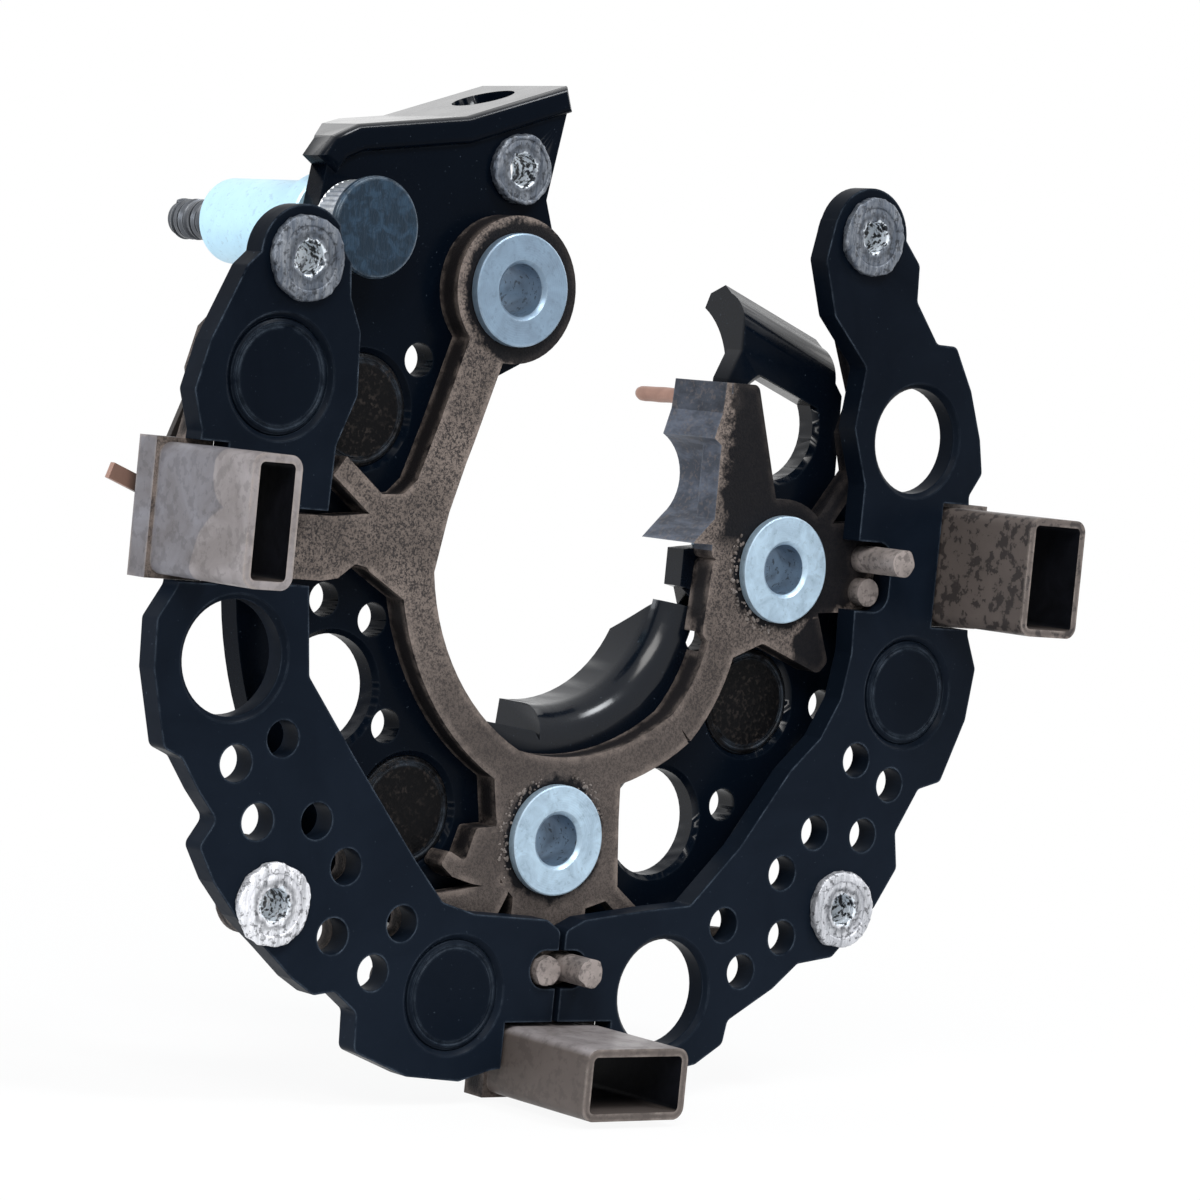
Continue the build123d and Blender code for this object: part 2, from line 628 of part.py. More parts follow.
# B+ stud: pressed through the rear fin from the front
stud_head_y = gap_back - stud_collar_h - stud_head_t
with BuildPart() as b_plus_stud:
    disc(stud_at, stud_head_d, stud_head_y + stud_head_t, stud_head_t)
    disc(stud_at, stud_collar_d, gap_back, stud_collar_h)
    disc(stud_at, stud_shank_d, rear_back, rear_fin_t)
    disc(stud_at, stud_neck_d, sleeve_end_y, sleeve_end_y - rear_back)
    disc(stud_at, stud_thread_d, stud_tip_y, stud_tip_y - sleeve_end_y)
    chamfer(b_plus_stud.edges().filter_by(GeomType.CIRCLE).sort_by(Axis.Y)[-1], stud_tip_chamfer)
    chamfer(b_plus_stud.edges().filter_by(GeomType.CIRCLE).sort_by(Axis.Y)[0], stud_head_chamfer)

# Sleeve over the stud, with a flange against the rear fin
with BuildPart() as stud_sleeve:
    disc(stud_at, sleeve_flange_d, rear_back + sleeve_flange_t, sleeve_flange_t)
    disc(stud_at, sleeve_d, sleeve_end_y, sleeve_end_y - rear_back)
    chamfer(stud_sleeve.edges().filter_by(GeomType.CIRCLE).sort_by(Axis.Y)[-1], sleeve_chamfer)
    disc(stud_at, stud_neck_d, sleeve_end_y, sleeve_end_y - rear_back, mode=Mode.SUBTRACT)

# Copper lead to the voltage regulator, held in the moulding's block
with BuildPart() as regulator_lead:
    disc(wire_at, wire_d, wire_tip_y, wire_tip_y - gap_front)

named = {
    "front_fin_left": front_fin_left.part,
    "front_fin_right": front_fin_right.part,
    "rear_fin": rear_fin.part,
    "terminal_moulding": terminal_moulding.part,
    "front_rivets": front_rivets.part,
    "top_rivet": top_rivet.part,
    "b_plus_stud": b_plus_stud.part,
    "stud_sleeve": stud_sleeve.part,
    "regulator_lead": regulator_lead.part,
}
for name in ("left", "bottom", "right"):
    named["negative_diode_" + name] = front_diode_parts[name]
    named["positive_diode_" + name] = rear_diode_parts[name]
    named["stator_terminal_" + name] = terminal_parts[name]
for name in bushings:
    named["bushing_" + name] = bushing_parts[name]
    named["bushing_washer_" + name] = washer_parts[name]
for name, piece in named.items():
    piece.label = name
    export_step(piece, "parts/" + name + ".step")
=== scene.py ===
from math import cos, pi, radians, sin

import bmesh
import bpy
from bpy.props import FloatProperty, FloatVectorProperty, IntProperty, PointerProperty
from mathutils import Matrix, Vector, noise


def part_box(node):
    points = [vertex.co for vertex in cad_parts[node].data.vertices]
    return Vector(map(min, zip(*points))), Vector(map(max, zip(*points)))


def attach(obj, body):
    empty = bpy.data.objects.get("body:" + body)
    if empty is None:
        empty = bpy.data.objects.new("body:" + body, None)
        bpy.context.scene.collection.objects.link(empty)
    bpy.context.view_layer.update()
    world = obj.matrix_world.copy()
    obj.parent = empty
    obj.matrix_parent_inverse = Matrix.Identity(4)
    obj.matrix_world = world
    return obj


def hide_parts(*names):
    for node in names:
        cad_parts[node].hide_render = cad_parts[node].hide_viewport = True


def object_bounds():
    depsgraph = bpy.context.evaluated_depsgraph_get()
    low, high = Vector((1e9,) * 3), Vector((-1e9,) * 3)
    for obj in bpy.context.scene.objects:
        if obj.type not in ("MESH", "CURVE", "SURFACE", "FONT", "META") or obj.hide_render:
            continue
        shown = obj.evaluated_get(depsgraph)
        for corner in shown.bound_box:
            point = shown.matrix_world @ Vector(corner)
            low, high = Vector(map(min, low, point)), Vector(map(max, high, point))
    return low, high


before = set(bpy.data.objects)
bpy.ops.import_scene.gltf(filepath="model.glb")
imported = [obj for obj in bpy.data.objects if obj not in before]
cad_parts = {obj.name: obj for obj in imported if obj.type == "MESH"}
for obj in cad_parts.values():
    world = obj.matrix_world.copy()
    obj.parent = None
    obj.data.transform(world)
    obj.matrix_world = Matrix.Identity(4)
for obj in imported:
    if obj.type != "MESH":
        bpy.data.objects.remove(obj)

bl_info = {
    "name": "Alternator Rectifier",
    "version": (1, 0, 0),
    "blender": (4, 5, 0),
    "location": "View3D > Sidebar > Rectifier",
    "description": "Dresses the packed solids of an alternator rectifier with finishes and fine detail",
    "category": "Object",
}

CAD_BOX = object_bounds()
MM = 0.001
MAKERS = []
SIDES = ("left", "bottom", "right")
FLOAT, COUNT, SPOT = "NodeSocketFloat", "NodeSocketInt", "NodeSocketVector"
GEOMETRY, MATERIAL = "NodeSocketGeometry", "NodeSocketMaterial"
# Places across the shaft are x and z, and depths are y, all in millimetres
RIVET_SPOTS = ((-45.2, 32.3), (36.0, 43.0), (-41.648, -38.031), (41.648, -38.031))
REAR_FRONT = 5.6
STUD_END = 31.05
# Place, width and height of each guide tube
TUBES = ((-56.4, 4.1, 6.2, 14.2), (57.4, 4.4, 9.2, 14.3), (0.1, -56.1, 14.6, 8.2))
# Place and radius of each dark spot on the moulding: painted shade round the bushings, which sit in a
# recess, and on the right and lower side of the top boss, and darker plastic on the right
SHADE_AND_SOOT_SPOTS = ((-13.9, 31.7, 7.3), (-12.6, 31.4, 8.3), (-1.0, -30.7, 7.2), (29.5, 2.4, 7.4),
              (34.5, 6.0, 9.5), (30.5, 7.5, 7.6), (37.5, -7.0, 4.6))
ROUGH_SEED = 7
# Area, in square metres, from which a flat face keeps its own normal
LARGE_FACE = 3e-5
# Name, place in metres, size, power and colour of each lamp
LAMPS = (("key", (-0.42, -0.50, 0.55), 0.34, 3.9, (1.0, 0.98, 0.95)),
         ("top", (0.17, -0.38, 0.62), 0.17, 2.8, (0.94, 0.97, 1.0)),
         ("side", (-0.75, 0.15, 0.12), 0.30, 2.2, (0.90, 0.95, 1.0)),
         ("fill", (0.80, -0.10, 0.30), 0.5, 1.5, (1.0, 0.98, 0.96)))
# The photograph's camera: its place in metres and its directions right, up and backwards
CAMERA_PLACE = (-0.30999, -0.38537, 0.01770)
CAMERA_AXES = ((0.77788, -0.62065, 0.09841), (-0.05124, 0.09344, 0.99431),
               (-0.62632, -0.77850, 0.04089))
CAMERA_LENS = 129.28


def maker(cls):
    """Keep an operator in the list that main() and the panel go through."""
    MAKERS.append(cls)
    return cls


def colour(name, description, default):
    return FloatVectorProperty(name=name, description=description, subtype="COLOR", size=3,
                               min=0.0, max=1.0, default=default)


def length(name, description, default):
    return FloatProperty(name=name, description=description, subtype="DISTANCE", unit="LENGTH",
                         min=0.0, precision=5, default=default)


class RectifierSizes(bpy.types.PropertyGroup):
    fin_edge: length("Fin edge", "Radius on the stamped edges of the fins", 0.00032)
    bend: length("Bend", "Radius on the front edges of the rear fin's top flange", 0.0008)
    moulding_edge: length("Moulding edge", "Radius on the edges of the moulding", 0.00028)
    metal_edge: length("Metal edge", "Radius on the edges of small metal pieces", 0.00018)
    rivet_rag: length("Rivet rag", "How ragged the rims of the rivets are", 0.00045)
    rib_count: IntProperty(name="Knurl ribs", description="Ribs round the stud's collar",
                           min=8, max=120, default=46)
    rib_d: length("Knurl rib", "Diameter of one rib of the knurling", 0.00052)
    pitch: length("Thread pitch", "Distance between two turns of the stud's thread", 0.0009)
    crumb_d: length("Crumb", "Size of the largest crumbs of broken plastic", 0.0007)


class RectifierColours(bpy.types.PropertyGroup):
    coat: colour("Coat", "Black dip coat of the fins", (0.0012, 0.0028, 0.0060))
    # Painted sheen: coat colour that makes the fins lighter low down.
    coat_low_sheen: colour("Coat with painted sheen", "Coat low down, made lighter as painted sheen", (0.0075, 0.0120, 0.0205))
    # Worn coat at the edges, also used as painted highlights along the edges of the fins and diodes.
    coat_worn_and_edge_highlight: colour("Worn coat and painted highlight", "Coat at worn edges, also painted edge highlights", (0.105, 0.135, 0.175))
    plastic_dark: colour("Dark plastic", "Moulding's dark grains", (0.030, 0.026, 0.026))
    plastic_tan: colour("Tan plastic", "Moulding's pale grains", (0.195, 0.158, 0.138))
    # Dark plastic of the walls, also used as painted shade round the bushings and inside the guide tubes.
    soot_and_painted_shade: colour("Soot and painted shade", "Dark walls, and painted shade round the bushings and inside the tubes", (0.0035, 0.0038, 0.0055))
    tube: colour("Tube plastic", "Smooth tan of the guide tubes", (0.300, 0.272, 0.272))
    # Painted shade on the back of the left tube.
    tube_grey_painted_shade: colour("Greyed tube, painted shade", "Greyed part of the left tube", (0.190, 0.184, 0.202))
    # Brown of the right tube, also painted shade on the lower tube's sides and painted light on the
    # tubes' floors.
    tube_brown_and_painted_light: colour("Browned tube and painted light", "Right tube and the sides of the lower one", (0.115, 0.095, 0.086))
    block: colour("Block plastic", "Block beside the shaft", (0.052, 0.059, 0.076))
    zinc: colour("Zinc", "Blue-white plating of the bushings", (0.46, 0.61, 0.74))
    zinc_dim: colour("Dim zinc", "Plating of the upper bushing", (0.22, 0.31, 0.41))
    sleeve: colour("Sleeve", "Bright plating of the stud's sleeve", (0.55, 0.82, 0.98))
    rivet: colour("Rivet", "Bright aluminium of the lower rivets", (0.93, 0.93, 0.97))
    # Darker tone of the upper rivets; the lower ones are lighter.
    rivet_dull: colour("Dull rivet", "Darker aluminium of the upper rivets", (0.085, 0.102, 0.132))
    head: colour("Stud head", "Face of the stud's head", (0.013, 0.027, 0.045))
    collar: colour("Collar", "Knurled collar of the stud", (0.58, 0.62, 0.68))
    thread: colour("Thread", "Stud's thread", (0.105, 0.112, 0.125))
    post: colour("Post", "Crushed ends of the terminals' posts", (0.36, 0.31, 0.29))
    copper: colour("Copper", "Bare copper of the regulator's lead", (0.43, 0.255, 0.20))


class Graph:
    """A node tree, written one node at a time."""

    def __init__(self, tree):
        self.tree = tree

    def node(self, kind, values=None, **settings):
        made = self.tree.nodes.new(kind)
        for key, value in settings.items():
            setattr(made, key, value)
        for key, value in (values or {}).items():
            self.feed(made.inputs[key], value)
        return made

    def feed(self, socket, value):
        if isinstance(value, bpy.types.NodeSocket):
            self.tree.links.new(value, socket)
        elif hasattr(value, "__len__") and not isinstance(value, str):
            socket.default_value = (tuple(value) + (1.0,))[:len(socket.default_value)]
        else:
            socket.default_value = value

    def geo(self, kind, values=None, **settings):
        """First output of a geometry node."""
        return self.node("GeometryNode" + kind, values, **settings).outputs[0]

    def maths(self, operation, a, b=0.0, clamp=False):
        return self.node("ShaderNodeMath", {0: a, 1: b}, operation=operation,
                         use_clamp=clamp).outputs[0]

    def vector(self, operation, a, b=(0.0, 0.0, 0.0)):
        return self.node("ShaderNodeVectorMath", {0: a, 1: b}, operation=operation).outputs[0]

    def measure(self, operation, a, b=(0.0, 0.0, 0.0)):
        """One number out of two vectors."""
        return self.vector(operation, a, b).node.outputs["Value"]

    def stretched(self, vector, share):
        return self.node("ShaderNodeVectorMath", {0: vector, "Scale": share},
                         operation="SCALE").outputs[0]

    def both(self, one, other):
        return self.maths("MULTIPLY", one, other)

    def either(self, one, other):
        return self.maths("MAXIMUM", one, other)

    def clouds(self, place, scale, detail=3.0, roughness=0.6, distortion=0.0):
        """Height of a noise texture."""
        return self.node("ShaderNodeTexNoise", {
            "Vector": place, "Scale": scale, "Detail": detail, "Roughness": roughness,
            "Distortion": distortion}).outputs[0]

    def mix(self, amount, a, b):
        return self.node("ShaderNodeMix", {0: amount, 6: a, 7: b}, data_type="RGBA").outputs[2]

    def span(self, value, low, high, to_low=0.0, to_high=1.0):
        """Value from low..high, spread over to_low..to_high and held inside it."""
        return self.node("ShaderNodeMapRange", {0: value, 1: low, 2: high, 3: to_low,
                                                4: to_high}).outputs[0]

    def seen(self):
        """Mask of what the camera, reflections and refractions look at."""
        path = self.node("ShaderNodeLightPath").outputs
        return self.either(path["Is Camera Ray"],
                           self.either(path["Is Glossy Ray"], path["Is Transmission Ray"]))

    def random(self, kind, seed, low, high):
        """A random FLOAT or FLOAT_VECTOR between two bounds."""
        first, result = (0, 0) if kind == "FLOAT_VECTOR" else (2, 1)
        made = self.node("FunctionNodeRandomValue", {"Seed": seed, first: low, first + 1: high},
                         data_type=kind)
        return made.outputs[result]


def group_tree(name, kind, inputs, outputs):
    """A new node group with named sockets, and a Graph to fill it."""
    tree = bpy.data.node_groups.new(name, kind)
    for label, socket, default in inputs:
        made = tree.interface.new_socket(name=label, in_out="INPUT", socket_type=socket)
        if default is not None:
            made.default_value = default
    for label, socket in outputs:
        tree.interface.new_socket(name=label, in_out="OUTPUT", socket_type=socket)
    graph = Graph(tree)
    start = graph.node("NodeGroupInput")
    end = graph.node("NodeGroupOutput")
    return graph, start.outputs, end.inputs


def shader_group(name):
    """Build a shader group once, and hand back its tree."""
    if name not in bpy.data.node_groups:
        inputs, outputs, fill = GROUPS[name]
        graph, given, wanted = group_tree(name, "ShaderNodeTree", inputs, outputs)
        fill(graph, graph.node("ShaderNodeTexCoord").outputs["Object"], given, wanted)
    return bpy.data.node_groups[name]


def fill_speckle(graph, place, given, wanted):
    """Pale and dark grains of filled plastic, with their height."""
    coarse = graph.clouds(place, given["Scale"], 3.0, 0.72)
    fine = graph.node("ShaderNodeTexVoronoi", {"Vector": place,
                                               "Scale": graph.both(given["Scale"], 1.5)})
    both = graph.maths("MULTIPLY_ADD", fine.outputs["Distance"], 0.22)
    graph.feed(both.node.inputs[2], coarse)
    low = graph.maths("SUBTRACT", given["Level"], given["Softness"])
    high = graph.maths("ADD", given["Level"], given["Softness"])
    graph.feed(wanted["Mask"], graph.span(both, low, high))
    graph.feed(wanted["Height"], both)


def fill_blotch(graph, place, given, wanted):
    """Large uneven stains."""
    stains = graph.clouds(place, given["Scale"], 5.0, 0.62, 0.7)
    graph.feed(wanted["Mask"], graph.span(stains, given["From"], given["To"]))


def fill_edge(graph, place, given, wanted):
    """Edge mask from the difference between the true and a rounded normal: worn edges, and on the coated
    fins, the diodes and the stud head also painted edge highlights.
    """
    rounded = graph.node("ShaderNodeBevel", {"Radius": given["Width"]}, samples=4)
    plain = graph.node("ShaderNodeNewGeometry").outputs["Normal"]
    alike = graph.measure("DOT_PRODUCT", rounded.outputs[0], plain)
    worn = graph.span(alike, 0.982, 0.84)
    patch = graph.span(graph.clouds(place, 420.0, 4.0, 0.7), 0.36, 0.62)
    graph.feed(wanted["Mask"], graph.both(worn, graph.both(patch, given["Amount"])))


def fill_scratch(graph, place, given, wanted):
    """Fine scratches that run mostly one way."""
    turned = graph.node("ShaderNodeMapping", {"Vector": place, "Rotation": given["Turn"],
                                              "Scale": given["Stretch"]})
    lines = graph.clouds(turned.outputs[0], given["Scale"], 4.0, 0.75)
    graph.feed(wanted["Mask"], graph.span(lines, 0.42, 0.66))
    graph.feed(wanted["Height"], lines)


GROUPS = {
    "Speckle": ([("Scale", FLOAT, 1500.0), ("Level", FLOAT, 0.6), ("Softness", FLOAT, 0.08)],
                [("Mask", FLOAT), ("Height", FLOAT)], fill_speckle),
    "Blotch": ([("Scale", FLOAT, 60.0), ("From", FLOAT, 0.4), ("To", FLOAT, 0.65)],
               [("Mask", FLOAT)], fill_blotch),
    "Edge Wear and Highlight": ([("Width", FLOAT, 0.0005), ("Amount", FLOAT, 1.0)], [("Mask", FLOAT)], fill_edge),
    "Scratches": ([("Scale", FLOAT, 500.0), ("Turn", SPOT, (0.0, 0.0, 0.0)),
                   ("Stretch", SPOT, (1.0, 1.0, 1.0))],
                  [("Mask", FLOAT), ("Height", FLOAT)], fill_scratch),
}


class Finish(Graph):
    """A material with a Principled shader, its shared groups and a bump."""

    def __init__(self, name):
        self.material = bpy.data.materials.new(name)
        self.material.use_nodes = True
        super().__init__(self.material.node_tree)
        self.shader = self.tree.nodes["Principled BSDF"]
        self.place = self.node("ShaderNodeTexCoord").outputs["Object"]

    def use(self, group, **values):
        made = self.node("ShaderNodeGroup", node_tree=shader_group(group))
        for key, value in values.items():
            self.feed(made.inputs[key], value)
        return made.outputs

    def blotch(self, scale, low, high):
        return self.use("Blotch", Scale=scale, From=low, To=high)["Mask"]

    def specks(self, scale, level, softness):
        return self.use("Speckle", Scale=scale, Level=level, Softness=softness)["Mask"]

    # Edge mask for worn edges, which on the coat and the stud head also paints highlights.
    def worn_and_highlit_edges(self, width, amount):
        return self.use("Edge Wear and Highlight", Width=width, Amount=amount)["Mask"]

    def noise(self, scale, detail=3.0, roughness=0.6):
        return self.clouds(self.place, scale, detail, roughness)

    def axis(self, name):
        """One of the object's coordinates, in metres."""
        return self.node("ShaderNodeSeparateXYZ", {0: self.place}).outputs[name]

    def facing(self, axis, low, high):
        """Mask of the faces that look along an axis."""
        normal = self.node("ShaderNodeNewGeometry").outputs["Normal"]
        return self.span(self.node("ShaderNodeSeparateXYZ", {0: normal}).outputs[axis], low, high)

    def away(self, x, z):
        """Distance from a line along the shaft through x and z, given in millimetres."""
        flat = self.vector("MULTIPLY", self.place, (1.0, 0.0, 1.0))
        return self.measure("DISTANCE", flat, (x * MM, 0.0, z * MM))

    def beside(self, y, z):
        """Distance from a line across the part through y and z, given in millimetres."""
        flat = self.vector("MULTIPLY", self.place, (0.0, 1.0, 1.0))
        return self.measure("DISTANCE", flat, (0.0, y * MM, z * MM))

    def paint(self, tint):
        self.set(Base_Color=tint)

    def bump(self, height, strength, distance):
        self.set(Normal=self.node("ShaderNodeBump", {"Height": height, "Strength": strength,
                                                     "Distance": distance}).outputs[0])

    def set(self, **values):
        for key, value in values.items():
            self.feed(self.shader.inputs[key.replace("_", " ")], value)
        return self.material


def scaled(tint, share):
    """A colour made darker or lighter."""
    return [min(1.0, c * share) for c in tint]


def coat_finish(name, colours, low_sheen, gloss, edge_amount=0.85, polished=False):
    """Black dip coat: painted sheen that makes it lighter low down, stains, worn edges that also carry
    painted edge highlights, faint orange peel and handling marks.
    """
    f = Finish(name)
    # Painted sheen: the coat turns lighter towards the bottom, mixed with random stains.
    low = f.span(f.axis("Z"), 0.045, -0.045, 0.0, 0.8)
    stains = f.blotch(62.0, 0.36, 0.68)
    low_sheen_and_stains = f.both(f.maths("ADD", low, f.both(stains, 0.35)), low_sheen)
    base = f.mix(low_sheen_and_stains, colours.coat, colours.coat_low_sheen)
    lint = f.specks(2300.0, 0.86, 0.02)
    base = f.mix(f.both(lint, 0.35), base, colours.coat_worn_and_edge_highlight)
    # Painted highlight: the worn-edge colour also stands in for the light caught along the edges of the
    # fins.
    edge = f.worn_and_highlit_edges(0.00045, edge_amount)
    flat = f.either(f.facing("Y", -0.25, -0.60), f.facing("Y", 0.25, 0.60))
    f.paint(f.mix(f.both(edge, flat), base, colours.coat_worn_and_edge_highlight))
    rough = f.span(f.noise(240.0, 4.0, 0.7), 0.3, 0.7, gloss, gloss + 0.18)
    if polished:
        lip = f.span(f.away(0.0, 0.0), 0.0215, 0.0200)
        behind = f.span(f.axis("Y"), 0.0064, 0.0070)
        arm = f.both(f.span(f.axis("X"), 0.021, 0.023), behind)
        top = f.both(f.facing("Z", 0.35, 0.8), f.span(f.axis("Z"), 0.043, 0.045))
        bright = f.either(f.both(f.either(lip, arm), 0.50), top)
        f.set(Coat_Weight=bright, Coat_Roughness=0.17)
    f.bump(f.noise(900.0, 2.0, 0.5), 0.08, 0.00012)
    return f.set(Roughness=rough, Specular_IOR_Level=0.032)


def resin_finish(colours):
    """Rear diodes: dark brown resin with pale grains."""
    f = Finish("Diode resin")
    grains = f.use("Speckle", Scale=1700.0, Level=0.70, Softness=0.06)
    dirt = f.blotch(260.0, 0.40, 0.60)
    base = f.mix(f.both(grains["Mask"], f.span(dirt, 0.0, 1.0, 0.06, 0.45)),
                 (0.0038, 0.0038, 0.0044), scaled(colours.plastic_tan, 0.30))
    f.paint(f.mix(f.worn_and_highlit_edges(0.0004, 0.6), base, colours.coat_worn_and_edge_highlight))
    f.bump(grains["Height"], 0.4, 0.0003)
    return f.set(Roughness=0.30, Specular_IOR_Level=0.06)


def web_finish(colours):
    """Moulding: fine tan and dark grains in front, black walls, darker plastic on the right, and painted
    shade round the bushings and on the right and lower side of the top boss.
    """
    f = Finish("Moulding web")
    grains = f.use("Speckle", Scale=3500.0, Level=0.60, Softness=0.085)
    stain = f.blotch(75.0, 0.36, 0.64)
    front = f.facing("Y", -0.45, -0.85)
    pale = f.mix(stain, colours.plastic_tan, scaled(colours.plastic_tan, 0.58))
    rough = f.span(f.axis("Z"), -0.020, 0.0, 0.45, 1.0)
    rest = f.maths("SUBTRACT", 0.55, f.both(rough, 0.55))
    grainy = f.maths("ADD", f.both(grains["Mask"], rough), rest)
    speckled = f.mix(grainy, colours.plastic_dark, pale)
    speckled = f.mix(f.span(rough, 0.45, 1.0, 0.34, 0.0), speckled, colours.plastic_dark)
    walls = f.mix(0.05, colours.soot_and_painted_shade, pale)
    base = f.mix(front, walls, speckled)
    warp = f.span(f.noise(420.0, 4.0, 0.65), 0.3, 0.7, -0.0007, 0.0007)
    # Darker plastic on the right side, then painted shade: dark rings round the bushings and on the right
    # and lower side of the top boss.
    soot_and_painted_shade = f.both(f.span(f.maths("ADD", f.axis("X"), f.both(warp, 2.0)), 0.0188, 0.0200),
                  f.span(f.axis("Z"), 0.004, 0.006))
    for x, z, radius in SHADE_AND_SOOT_SPOTS:
        reach = f.maths("ADD", f.away(x, z), warp)
        soot_and_painted_shade = f.either(soot_and_painted_shade, f.span(reach, (radius + 0.3) * MM, (radius - 0.3) * MM))
    base = f.mix(f.both(soot_and_painted_shade, 0.97), base, colours.soot_and_painted_shade)
    worn = f.both(f.worn_and_highlit_edges(0.0018, 0.75), f.span(soot_and_painted_shade, 0.0, 1.0, 1.0, 0.15))
    f.paint(f.mix(worn, base, scaled(colours.plastic_tan, 1.5)))
    f.bump(grains["Height"], 0.40, 0.0003)
    return f.set(Roughness=0.55, Specular_IOR_Level=0.09)


def tube_finish(colours):
    """Guide tubes: smooth plastic, a browner right tube, painted shade on the back of the left tube and
    on the lower tube's faces that don't look up, stains, dark flecks and pale ragged rims.
    """
    f = Finish("Moulding tube")
    upper, lower = (f.maths("SUBTRACT", f.beside(y, z), r * MM)
                    for y, z, r in ((-12.5, 9.0, 4.8), (-13.0, -2.5, 8.2)))
    wave = f.span(f.noise(500.0, 3.0, 0.5), 0.3, 0.7, -0.0002, 0.0002)
    # Painted shade: past a scalloped line the back of the left tube turns greyer.
    shade_line = f.span(f.maths("ADD", f.maths("MINIMUM", upper, lower), wave), -0.0001, 0.0001)
    left = f.span(f.axis("X"), -0.040, -0.045)
    right = f.span(f.axis("X"), 0.040, 0.045)
    haze = f.blotch(150.0, 0.35, 0.66)
    # Painted shade: faces that don't look up, away from the left tube, take the brown of the right tube.
    shade = f.maths("SUBTRACT", 1.0, f.maths("ADD", left, f.facing("Z", 0.4, 0.8)), True)
    base = f.mix(f.both(shade_line, left), colours.tube, colours.tube_grey_painted_shade)
    base = f.mix(f.either(shade, right), base, colours.tube_brown_and_painted_light)
    base = f.mix(f.both(haze, 0.55), base, scaled(colours.tube_brown_and_painted_light, 0.72))
    flecks = f.specks(620.0, 0.66, 0.03)
    much = f.span(right, 0.0, 1.0, 0.22, 0.85)
    base = f.mix(f.both(flecks, much), base, colours.plastic_dark)
    f.paint(f.mix(f.worn_and_highlit_edges(0.0007, 0.85), base, (0.33, 0.28, 0.25)))
    f.bump(f.noise(700.0, 4.0, 0.6), 0.16, 0.0002)
    return f.set(Roughness=f.span(haze, 0.0, 1.0, 0.34, 0.5), Specular_IOR_Level=0.16)


def tube_inside_painted_light(colours):
    """Painted shade: near-black inside of the guide tubes, with painted light making the floors near the
    mouths paler.
    """
    f = Finish("Moulding tube inside, painted shade")
    haze = f.blotch(220.0, 0.35, 0.7)
    # Painted light: floors near the mouths of the tubes turn paler.
    floor = f.both(f.facing("Z", 0.5, 0.9), f.span(f.axis("Y"), -0.006, -0.014))
    base = f.mix(haze, scaled(colours.soot_and_painted_shade, 0.9), scaled(colours.soot_and_painted_shade, 2.2))
    f.paint(f.mix(f.both(floor, 0.7), base, colours.tube_brown_and_painted_light))
    f.bump(f.noise(500.0), 0.2, 0.0003)
    return f.set(Roughness=0.5, Specular_IOR_Level=0.06)


def block_finish(colours, name, shade):
    """Block beside the shaft: navy, wiped smooth, with scuffs along the shaft; a shade below 1 gives a
    darker copy, used as painted shade on the block's upper part.
    """
    f = Finish(name)
    scuff = f.use("Scratches", Scale=300.0, Stretch=(2.5, 0.5, 1.0))
    base = f.mix(scuff["Mask"], scaled(colours.block, shade), scaled(colours.block, shade * 2.2))
    grains = f.specks(1500.0, 0.70, 0.05)
    base = f.mix(f.both(grains, 0.30), base, colours.plastic_tan)
    f.paint(f.mix(f.worn_and_highlit_edges(0.0004, 0.6), base, (0.20, 0.21, 0.235)))
    f.bump(scuff["Height"], 0.25, 0.0002)
    return f.set(Roughness=0.42, Specular_IOR_Level=0.12)


def zinc_finish(name, tint, metal, rough, clouding, pitted, dim=None):
    """Zinc plating with clouding, fine pits and bright rims; dimmer high up if asked."""
    f = Finish(name)
    if dim is not None:
        tint = f.mix(f.span(f.axis("Z"), 0.006, 0.026), tint, dim)
    cloud = f.blotch(380.0, 0.36, 0.68)
    base = f.mix(f.both(cloud, clouding), tint, (0.10, 0.13, 0.17))
    pits = f.specks(1400.0, 0.74, 0.03)
    base = f.mix(f.both(pits, pitted), base, (0.02, 0.028, 0.038))
    f.paint(f.mix(f.worn_and_highlit_edges(0.0004, 0.6), base, (0.62, 0.74, 0.84)))
    f.bump(f.noise(1300.0, 3.0), 0.12, 0.0001)
    return f.set(Roughness=f.span(cloud, 0.0, 1.0, rough, rough + 0.16), Metallic=metal)


